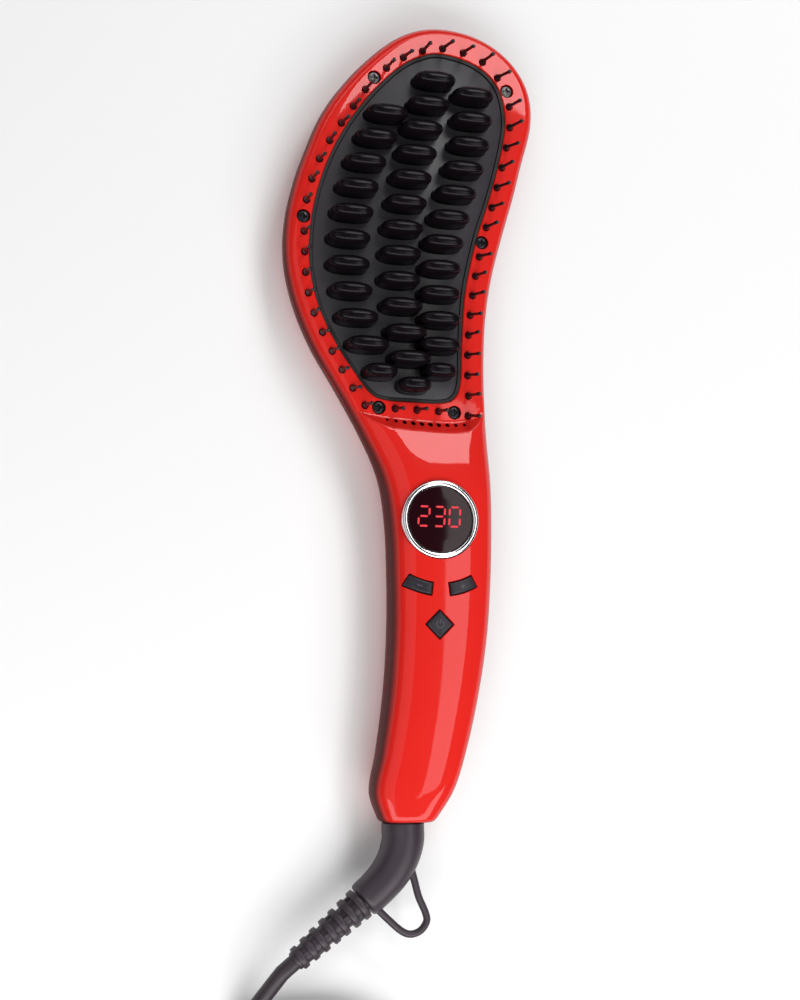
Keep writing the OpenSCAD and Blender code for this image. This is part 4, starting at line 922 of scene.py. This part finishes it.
def filler_room():
    """Round recess in the side for the water filler's plug."""
    face = float(edge(FILLER_Y, 2)) - 2.4
    return rod(4.3, face - 10, face + 8, 48, (0, FILLER_Y, FILLER_Z), "x")


def end_rounding(r=1.5, steps=7):
    """Distances from the handle's end and how far its rounded edge draws the section in there."""
    a = np.linspace(0, math.pi / 2, steps)
    return r * (1 - np.cos(a)), r * (1 - np.sin(a))


def shell_solid(d, side):
    """A shell's outer solid, or the space inside it at wall d; side is 1 for the front and -1 for the back."""
    fine, front = d == 0, side > 0
    turn = np.linspace(0, math.pi / 2, (46 if front else 36) if fine else 16)
    top = CAP_Y + (TOP_Y - d - 0.004 - CAP_Y) * np.sin(turn)
    near, drawn = end_rounding()
    if not fine:
        rows = [[END_Y + 2.6], np.arange(END_Y + 2.2, CAP_Y, 4)[3:], top]
    elif front:
        spans = zip((END_Y + 2.2, 8, 12.4, 15, 19.3, 22), (8, 12.4, 15, 19.3, 22, CAP_Y),
                    (1.3, 0.5, 0.25, 0.33, 0.5, 1.3))
        rows = [END_Y + near[:-1], *(np.arange(*span) for span in spans), top]
    else:
        rows = [END_Y + near[:-1], np.arange(END_Y + 2.2, CAP_Y, 1.8), top]
    counts = {(True, True): (14, 9), (True, False): (7, 4), (False, True): (16, 5), (False, False): (8, 3)}
    x, y, z = shell_grid(
        np.concatenate(rows), d, front_z if front else back_surface_z,
        lambda y, half: blend_reach(EDGE_R if front else BACK_R, half, y),
        front_power if front else lambda y: np.full_like(y, BACK_POWER), *counts[front, fine], warp=front)
    if fine:
        draw_in(x, y, z, drawn[:-1])
        z = np.maximum(z, SEAM + SEAM_HALF) if front else np.minimum(z, SEAM - SEAM_HALF)
    return closed_shell(x, y, z, SEAM + side * (SEAM_HALF if fine else -1), inset=0.15 if fine else 0.0)


def draw_in(x, y, z, drawn):
    """Rounds the handle's end: moves the first sections' points towards their middle."""
    for i, d in enumerate(drawn):
        middle = float(ridge(y[i].mean()))
        half = (x[i].max() - x[i].min()) / 2
        high = np.abs(z[i] - SEAM).max()
        x[i] = middle + (x[i] - middle) * (1 - d / half)
        z[i] = SEAM + (z[i] - SEAM) * (1 - d / high)


def closed_shell(x, y, z, low, inset):
    """Closes a surface of rows along the seam."""
    sections = []
    for i in range(len(x)):
        row = np.stack([x[i], y[i], z[i]], 1)
        first, last = row[0].copy(), row[-1].copy()
        way = np.sign(last[0] - first[0])
        first[2] = last[2] = low
        first[0] += inset * way
        last[0] -= inset * way
        sections.append(np.vstack([first, row, last]))
    return loft(sections)


class BRUSH_OT_back_cover(bpy.types.Operator):
    """Adds the back shell with its screw recesses"""
    bl_idname = "brush.back_cover"
    bl_label = "Back cover"

    def execute(self, context):
        shell = add_mesh("back_cover", *shell_solid(0.0, -1))
        cut(shell, [shell_solid(WALL, -1)])
        posts = [(float(ridge(y)), y, 0) for y in HANDLE_SCREWS_Y]
        cut(shell, [turned([(0, -2), (2.75, -2), (2.75, 0.6), (2.4, 0.9), (2.4, 6), (0, 6)], 40, at) for at in posts])
        cut(shell, [bore(), filler_room()])
        for at in posts:
            cut(shell, [turned([(2.4, 1.2), (3.6, 1.2), (3.6, 6.6), (1.5, 6.6), (1.5, 4.4), (2.4, 4.4), (2.4, 1.2)],
                               40, at)], "UNION")
        place(shell, finish("red gloss plastic"), "casing", ["back_cover"])
        return {"FINISHED"}


def pins():
    """Where each guard pin stands."""
    places = []
    for count, line in PIN_RUNS:
        path = spline(line, 6)
        run = np.append(0, np.cumsum(np.linalg.norm(np.diff(path, axis=0), axis=1)))
        at = run[-1] * (np.arange(count) + 0.75) / (count + 0.5)
        places += [(float(np.interp(s, run, path[:, 0])), float(np.interp(s, run, path[:, 1]))) for s in at]
    return places


class BRUSH_OT_guard_pins(bpy.types.Operator):
    """Adds the ring of guard pins and the strip that carries them"""
    bl_idname = "brush.guard_pins"
    bl_label = "Guard pins"

    def execute(self, context):
        h = RIM + sizes().pin_h / MM
        foot = RIM + 1.3
        low = RIM - WALL - 1.3
        r = sizes().pin_d / MM / 2
        ball = [(0.75 * math.sin(a), h - 0.75 - 0.75 * math.cos(a)) for a in np.linspace(0.85, math.pi, 9)]
        profile = [(0, low), (r, low), (r, foot - 0.55), (r * 0.97, foot - 0.3), (r * 0.86, foot - 0.1),
                   (r * 0.7, foot + 0.1), (0.68, foot + 0.55), (0.6, foot + 1.2), (0.53, foot + 3), *ball]
        parts = [leaning(*turned(profile, 24, (*p, 0)), p, foot, h, k) for k, p in enumerate(pins())]
        line = spline(PLATE, 6, closed=True)
        parts.append(ring_solid(grown(line, 1.3), grown(line, 5.2), low - 1.4, low))
        ring = add_mesh("guard_pins", *merged(parts), crease=50)
        place(ring, finish("pin nylon"), "casing", ["guard_pin_ring"])
        return {"FINISHED"}


class BRUSH_OT_heated_comb(bpy.types.Operator):
    """Adds the heater plate with its seal and the three columns of teeth"""
    bl_idname = "brush.heated_comb"
    bl_label = "Heated comb"

    def execute(self, context):
        line = spline(PLATE, 12, closed=True)
        rows = [(0, PLATE_LOW), (0, PLATE_TOP - 0.5), (-0.12, PLATE_TOP - 0.18), (-0.4, PLATE_TOP)]
        plate = add_mesh("heater_plate", *loft([level(grown(line, d), z) for d, z in rows]))
        place(plate, finish("coated plate"), "casing", ["heater_plate"])
        seal = add_mesh("plate_seal", *ring_solid(grown(line, 0.1), grown(line, 1.1), PLATE_LOW, PLATE_TOP + 0.3))
        place(seal, finish("seal silicone"), "casing", ["plate_seal"])
        for name, table, count in (("left_teeth", LEFT_TEETH, 11), ("centre_teeth", CENTRE_TEETH, 13),
                                   ("right_teeth", RIGHT_TEETH, 12)):
            parts = []
            for k in range(count):
                y = table[0][0] + (table[-1][0] - table[0][0]) * k / (count - 1)
                size = 0.78 if k == count - 1 else 1
                parts.append(tooth((float(along(table, y, 1)), y), size))
            teeth = add_mesh(name, *merged(parts), crease=60)
            place(teeth, finish("tooth ceramic"), "casing", [name])
        return {"FINISHED"}


def leaning(points, faces, at, foot, tip, index):
    """A pin whose shaft leans a little above its collar, each in its own way."""
    own = 0.35 * np.array([math.sin(2.4 * index), math.sin(3.9 * index + 1)])
    lean = np.array([0.75 + 0.024 * at[0], -0.9 + 0.006 * (at[1] - 75)]) + own
    share = np.clip((points[:, 2] - foot) / (tip - foot), 0, 1)
    points = points.copy()
    points[:, :2] += share[:, None] * lean
    return points, faces


def tooth(at, size):
    """One heated tooth: an upright blade, oval from above, with a domed top."""
    h, l, t = sizes().tooth_h / MM, sizes().tooth_l / MM * size, sizes().tooth_t / MM
    a = 2 * math.pi * (np.arange(40) + 0.5) / 40
    across, thick_way = (np.sign(v) * np.abs(v) ** 0.8 for v in (np.cos(a), np.sin(a)))
    rows = []
    for s in (-0.02, *np.sin(np.linspace(0, math.pi / 2, 15))):
        s = min(s, 0.9995)
        long = (1 - max(s, 0) ** 6) ** (1 / 3)
        thick = (1 - max(s, 0) ** 5) ** (1 / 2.4)
        foot = 0.03 * math.exp(-s * 14)
        rows.append(np.stack([at[0] + l / 2 * (long + foot) * across, at[1] + t / 2 * (thick + 2 * foot) * thick_way,
                              np.full(40, PLATE_TOP + 0.15 + (h - 0.15) * s)], 1))
    return loft(rows)


def arc_line(side, grow):
    """Outline of the plus (side 1) or minus (side -1) button, grown by the gap."""
    r, half = sizes().button_r / MM, sizes().button_t / MM / 2 + grow
    more = math.degrees(math.asin(grow / r))
    turn = np.radians(np.linspace(KEY_ANGLE - KEY_SPREAD - more, KEY_ANGLE + KEY_SPREAD + more, 15))
    arcs = [[(DISPLAY[0] + side * (r + out) * math.sin(v), DISPLAY[1] - (r + out) * math.cos(v)) for v in run]
            for out, run in ((half, turn), (-half, turn[::-1]))]
    return rounded_line(np.array(arcs[0] + arcs[1]), 0.5)


def power_at():
    y = DISPLAY[1] - 36
    return float(ridge(y)), y


def square_line(grow):
    h = (sizes().power_side / MM / 2 + grow) * math.sqrt(2)
    x, y = power_at()
    corners = np.array([[x, y + h], [x + h, y], [x, y - h], [x - h, y]])
    return rounded_line(np.concatenate([np.linspace(a, b, 9)[:-1] for a, b in zip(corners, np.roll(corners, -1, 0))]),
                        0.6)


def rounded_line(line, r):
    """A closed line with its sharp corners rounded off, running clockwise."""
    area = np.sum(line[:, 0] * np.roll(line[:, 1], -1) - line[:, 1] * np.roll(line[:, 0], -1))
    if area > 0:
        line = line[::-1]
    out = []
    n = len(line)
    for i in range(n):
        a, b, c = line[i - 1], line[i], line[(i + 1) % n]
        u, v = (a - b) / np.linalg.norm(a - b), (c - b) / np.linalg.norm(c - b)
        if np.dot(u, v) < -0.8:
            out.append(b)
            continue
        step = min(r, 0.45 * np.linalg.norm(a - b), 0.45 * np.linalg.norm(c - b))
        p, q = b + u * step, b + v * step
        out += [p * (1 - s) ** 2 + 2 * b * s * (1 - s) + q * s**2 for s in np.linspace(0, 1, 5)]
    return np.array(out)


def window(line):
    """Tool that cuts a button's opening."""
    return flared(line, SEAM + 1, on_front(line), ABOVE, 0.22, 0.2)


def key_cap(name, line, stem):
    """A button: its top follows the crown and its edge is rounded."""
    rows = []
    for inset, down in ((0, 5.2), (0, 0.75), (0.08, 0.42), (0.26, 0.17), (0.5, 0.04), (0.8, 0)):
        p = grown(line, -inset)
        rows.append(level(p, on_front(p) + KEY_LIFT - down))
    centre = line.mean(0)
    for s in (0.6, 0.3, 0.02):
        p = centre + (grown(line, -0.8) - centre) * s
        rows.append(level(p, on_front(p) + KEY_LIFT))
    low = rows[0][:, 2].min()
    post = rod(1.7, low - 0.7, low + 0.5, 24, (*stem, 0))
    return add_mesh(name, *merged([loft(rows), post]), crease=50)


def mark(name, lines):
    """A thin raised mark on a button, which follows the crown."""
    parts = []
    for line in map(np.array, lines):
        top = on_front(line) + KEY_LIFT
        parts.append(loft([level(line, top - 0.15), level(line, top + 0.035)]))
    return add_mesh(name, *merged(parts))


def bar(centre, way, long, wide):
    c, w = np.asarray(centre, float), np.asarray(way, float) / np.linalg.norm(way)
    n = np.array([-w[1], w[0]])
    steps = np.linspace(-long / 2, long / 2, 5)
    return np.array([c + w * s + n * wide / 2 for s in steps] + [c + w * s - n * wide / 2 for s in steps[::-1]])


class BRUSH_OT_buttons(bpy.types.Operator):
    """Adds the plus, minus and power buttons with their marks"""
    bl_idname = "brush.buttons"
    bl_label = "Buttons"

    def execute(self, context):
        plastic, paint = finish("button plastic"), finish("button mark")
        r = sizes().button_r / MM
        a = math.radians(KEY_ANGLE)
        for side, name, body in ((1, "plus_button", "plus_key"), (-1, "minus_button", "minus_key")):
            at = np.array([DISPLAY[0] + side * r * math.sin(a), DISPLAY[1] - r * math.cos(a)])
            place(key_cap(name, arc_line(side, 0), at), plastic, body, [name])
            along_arc = [math.cos(a), side * math.sin(a)]
            bars = [bar(at, along_arc, 1.9, 0.4)]
            if side == 1:
                up = [-along_arc[1], along_arc[0]]
                bars += [bar(at + np.array(up) * s * 0.575, up, 0.75, 0.4) for s in (-1, 1)]
            place(mark(name.replace("button", "mark"), bars), paint, body)
        at = np.array(power_at())
        place(key_cap("power_button", square_line(0), at), plastic, "power_key", ["power_button"])
        turn = np.radians(np.linspace(128, 412, 31))
        ring = [at + 1.45 * np.array([math.cos(v), math.sin(v)]) for v in turn]
        hole = [at + 1.1 * np.array([math.cos(v), math.sin(v)]) for v in turn[::-1]]
        place(mark("power_mark", [ring + hole, bar(at + [0, 1.05], [0, 1], 1.5, 0.36)]), paint, "power_key")
        return {"FINISHED"}


class BRUSH_OT_display(bpy.types.Operator):
    """Adds the display: plated ring, smoked lens and lit digits"""
    bl_idname = "brush.display"
    bl_label = "Display"

    def execute(self, context):
        y = DISPLAY[1]
        x = float(ridge(y))
        top = float(crown_z(y)) + 0.4
        r, w = sizes().bezel_d / MM / 2, sizes().bezel_w / MM
        inner = r - w
        bow = [(inner + w / 2 + w / 2 * math.cos(a), top - 0.75 + 0.75 * math.sin(a))
               for a in np.linspace(0, math.pi, 17)]
        profile = [(inner - 0.9, top - 4.9), (r, top - 4.9), *bow, (inner + 0.02, top - 1.98),
                   (inner - 0.9, top - 1.98), (inner - 0.9, top - 4.9)]
        ring = add_mesh("display_ring", *turned(profile[:-1], 128, (x, y, 0)), crease=40)
        place(ring, finish("bright plating"), "casing", ["display_bezel"])
        glass = [(0, top - 1.9), (inner - 0.02, top - 1.9), (inner - 0.02, top - 0.62), (inner - 0.14, top - 0.52),
                 (inner - 0.4, top - 0.5), (inner * 0.6, top - 0.5), (0, top - 0.5)]
        lens = add_mesh("display_lens", *turned(glass, 96, (x, y, 0)), crease=40)
        place(lens, finish("smoked lens"), "casing", ["display_lens"])
        parts = []
        for k, digit in enumerate("230"):
            parts += seven_segment(digit, np.array([x - 0.5 + 5.5 * (k - 1), y + 0.9]), top - 0.5)
        digits = add_mesh("display_digits", *merged(parts))
        glow = finish("lit digits")
        light = glow.node_tree.nodes["Principled BSDF"]
        drift = use(glow.node_tree, "tone drift", Color=(*tint("digits"), 1), Scale=700, Amount=0.5)
        glow.node_tree.links.new(drift.outputs["Color"], light.inputs["Emission Color"])
        light.inputs["Emission Strength"].default_value = 0.2
        place(digits, glow, "casing")
        return {"FINISHED"}


def seven_segment(digit, centre, z):
    """Lit segments of one digit, as thin plates just over the lens."""
    w, h, t = 3.75, 6.7, 0.7
    lit = {"2": "abged", "3": "abgcd", "0": "abcdef"}[digit]
    spans = {"a": ((-1, 1), (1, 1)), "g": ((-1, 0), (1, 0)), "d": ((-1, -1), (1, -1)), "f": ((-1, 0), (-1, 1)),
             "b": ((1, 0), (1, 1)), "e": ((-1, -1), (-1, 0)), "c": ((1, -1), (1, 0))}
    parts = []
    for name in lit:
        p, q = (np.array([u * w / 2, v * h / 2]) for u, v in spans[name])
        way = (q - p) / np.linalg.norm(q - p)
        n = np.array([-way[1], way[0]])
        p, q = p + way * 0.42, q - way * 0.42
        line = np.array([p, p + (way + n) * t / 2, q + (n - way) * t / 2, q, q - (way + n) * t / 2,
                         p + (way - n) * t / 2])
        line[:, 0] += line[:, 1] * 0.05
        parts.append(prism(line + centre, z - 0.02, z + 0.02))
    return parts


class BRUSH_OT_screws(bpy.types.Operator):
    """Adds the cross-head screws of the head and the handle"""
    bl_idname = "brush.screws"
    bl_label = "Screws"

    def execute(self, context):
        dark, bright = finish("blackened steel"), finish("bare steel")
        upper, lower = ([screw(x, y, RIM - 0.3, 7, 1) for x, y in run] for run in (HEAD_SCREWS[:2], HEAD_SCREWS[2:]))
        join_pieces("head_screws", lower, dark, ["head_screws"])
        join_pieces("head_screws_top", upper, bright, ["head_screws"])
        join_pieces("handle_screws", [screw(float(ridge(y)), y, 3.1, 17.4, -1) for y in HANDLE_SCREWS_Y], dark,
                    ["handle_screws"])
        return {"FINISHED"}


def screw(x, y, top, end, up):
    """A pan-head screw; up is 1 for a head that faces up and -1 for one that faces down."""
    def z(h):
        return top + up * h
    head = [(0, z(0)), (0.9, z(-0.02)), (1.6, z(-0.1)), (2.05, z(-0.28)), (2.28, z(-0.6)), (2.32, z(-1.3)),
            (1.3, z(-1.3)), (1.3, end), (0, end - 0.6 * up)]
    made = add_mesh("screw", *turned(head, 40, (x, y, 0)))
    for w, l in ((0.4, 1.35), (1.35, 0.4)):
        slot = np.array([[x - w, y - l], [x - w, y + l], [x + w, y + l], [x + w, y - l]])
        cut(made, [prism(slot, *sorted((z(-0.9), z(1))))])
    cut(made, [turned([(0, z(-1.15)), (0.45, z(-1.15)), (0.95, z(0.02)), (0.95, z(1)), (0, z(1))], 24, (x, y, 0))])
    return made


def join_pieces(name, objects, material, replaces):
    joined = bmesh.new()
    for obj in objects:
        joined.from_mesh(obj.data)
        bpy.data.objects.remove(obj)
    mesh = bpy.data.meshes.new(name)
    joined.to_mesh(mesh)
    joined.free()
    made = bpy.data.objects.new(name, mesh)
    bpy.context.scene.collection.objects.link(made)
    smooth_faces(made)
    place(made, material, "casing", replaces)


class BRUSH_OT_inner_parts(bpy.types.Operator):
    """Gives each piece inside the casing its finish"""
    bl_idname = "brush.inner_parts"
    bl_label = "Inner parts"

    def execute(self, context):
        for name, look in INNER.items():
            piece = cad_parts[name]
            piece.data.materials.clear()
            piece.data.materials.append(finish(look))
            smooth_faces(piece, 30)
        return {"FINISHED"}


FLOOR_Z, FLOOR_HALF = -0.05, 3000
LIGHTS = [  # name, place, size, radiance
    ("key", (391, -105, 800), (267, 590), 3.2),
    ("back", (330, 660, 800), (410, 400), 8.5),
    ("rear", (0, 1200, 800), (1700, 600), 2),
    ("front", (100, -1000, 800), (1700, 900), 4.7),
    ("fill", (-690, -250, 800), (1100, 1300), 0.7)]


class BRUSH_OT_stage(bpy.types.Operator):
    """Adds the pale floor and the soft studio light"""
    bl_idname = "brush.stage"
    bl_label = "Floor and light"

    def execute(self, context):
        side = np.linspace(-FLOOR_HALF, FLOOR_HALF, 9)
        n = len(side)
        points = [(x, y, FLOOR_Z) for y in side for x in side]
        faces = [(i * n + j, i * n + j + 1, (i + 1) * n + j + 1, (i + 1) * n + j)
                 for i in range(n - 1) for j in range(n - 1)]
        floor = add_mesh("floor", points, faces)
        floor.data.materials.append(finish("floor paint"))
        for light in LIGHTS:
            softbox(*light)
        world = bpy.data.worlds.new("studio")
        context.scene.world = world
        world.use_nodes = True
        sky = world.node_tree.nodes["Background"].inputs
        sky["Color"].default_value, sky["Strength"].default_value = WHITE, 0.02
        context.scene.view_settings.view_transform = "Standard"
        return {"FINISHED"}


def softbox(name, at, size, radiance):
    """A rectangular light that faces straight down, its place and size in millimetres."""
    data = bpy.data.lights.new(name, "AREA")
    data.shape = "RECTANGLE"
    data.size, data.size_y = size[0] * MM, size[1] * MM
    data.energy = radiance * math.pi * data.size * data.size_y
    light = bpy.data.objects.new(name, data)
    bpy.context.scene.collection.objects.link(light)
    light.location = Vector(at) * MM


OPERATORS = [BRUSH_OT_camera, BRUSH_OT_cord, BRUSH_OT_cord_guard, BRUSH_OT_front_cover, BRUSH_OT_back_cover,
             BRUSH_OT_guard_pins, BRUSH_OT_heated_comb, BRUSH_OT_buttons, BRUSH_OT_display, BRUSH_OT_screws,
             BRUSH_OT_inner_parts, BRUSH_OT_stage]


class BRUSH_PT_panel(bpy.types.Panel):
    """Lists the brush's sizes, colours and pieces"""
    bl_idname = "BRUSH_PT_panel"
    bl_label = "Hair Brush"
    bl_space_type = "VIEW_3D"
    bl_region_type = "UI"
    bl_category = "Hair Brush"

    def draw(self, context):
        for group in (context.scene.brush_sizes, context.scene.brush_colours):
            box = self.layout.box()
            for key in group.__annotations__:
                box.prop(group, key)
        for operator in OPERATORS:
            self.layout.operator(operator.bl_idname)


def register():
    for kind in (BrushSizes, BrushColours, *OPERATORS, BRUSH_PT_panel):
        bpy.utils.register_class(kind)
    bpy.types.Scene.brush_sizes = PointerProperty(type=BrushSizes)
    bpy.types.Scene.brush_colours = PointerProperty(type=BrushColours)


def unregister():
    del bpy.types.Scene.brush_colours
    del bpy.types.Scene.brush_sizes
    for kind in reversed((BrushSizes, BrushColours, *OPERATORS, BRUSH_PT_panel)):
        bpy.utils.unregister_class(kind)


def main():
    register()
    for operator in OPERATORS:
        family, name = operator.bl_idname.split(".")
        getattr(getattr(bpy.ops, family), name)()


if __name__ == "__main__":
    main()
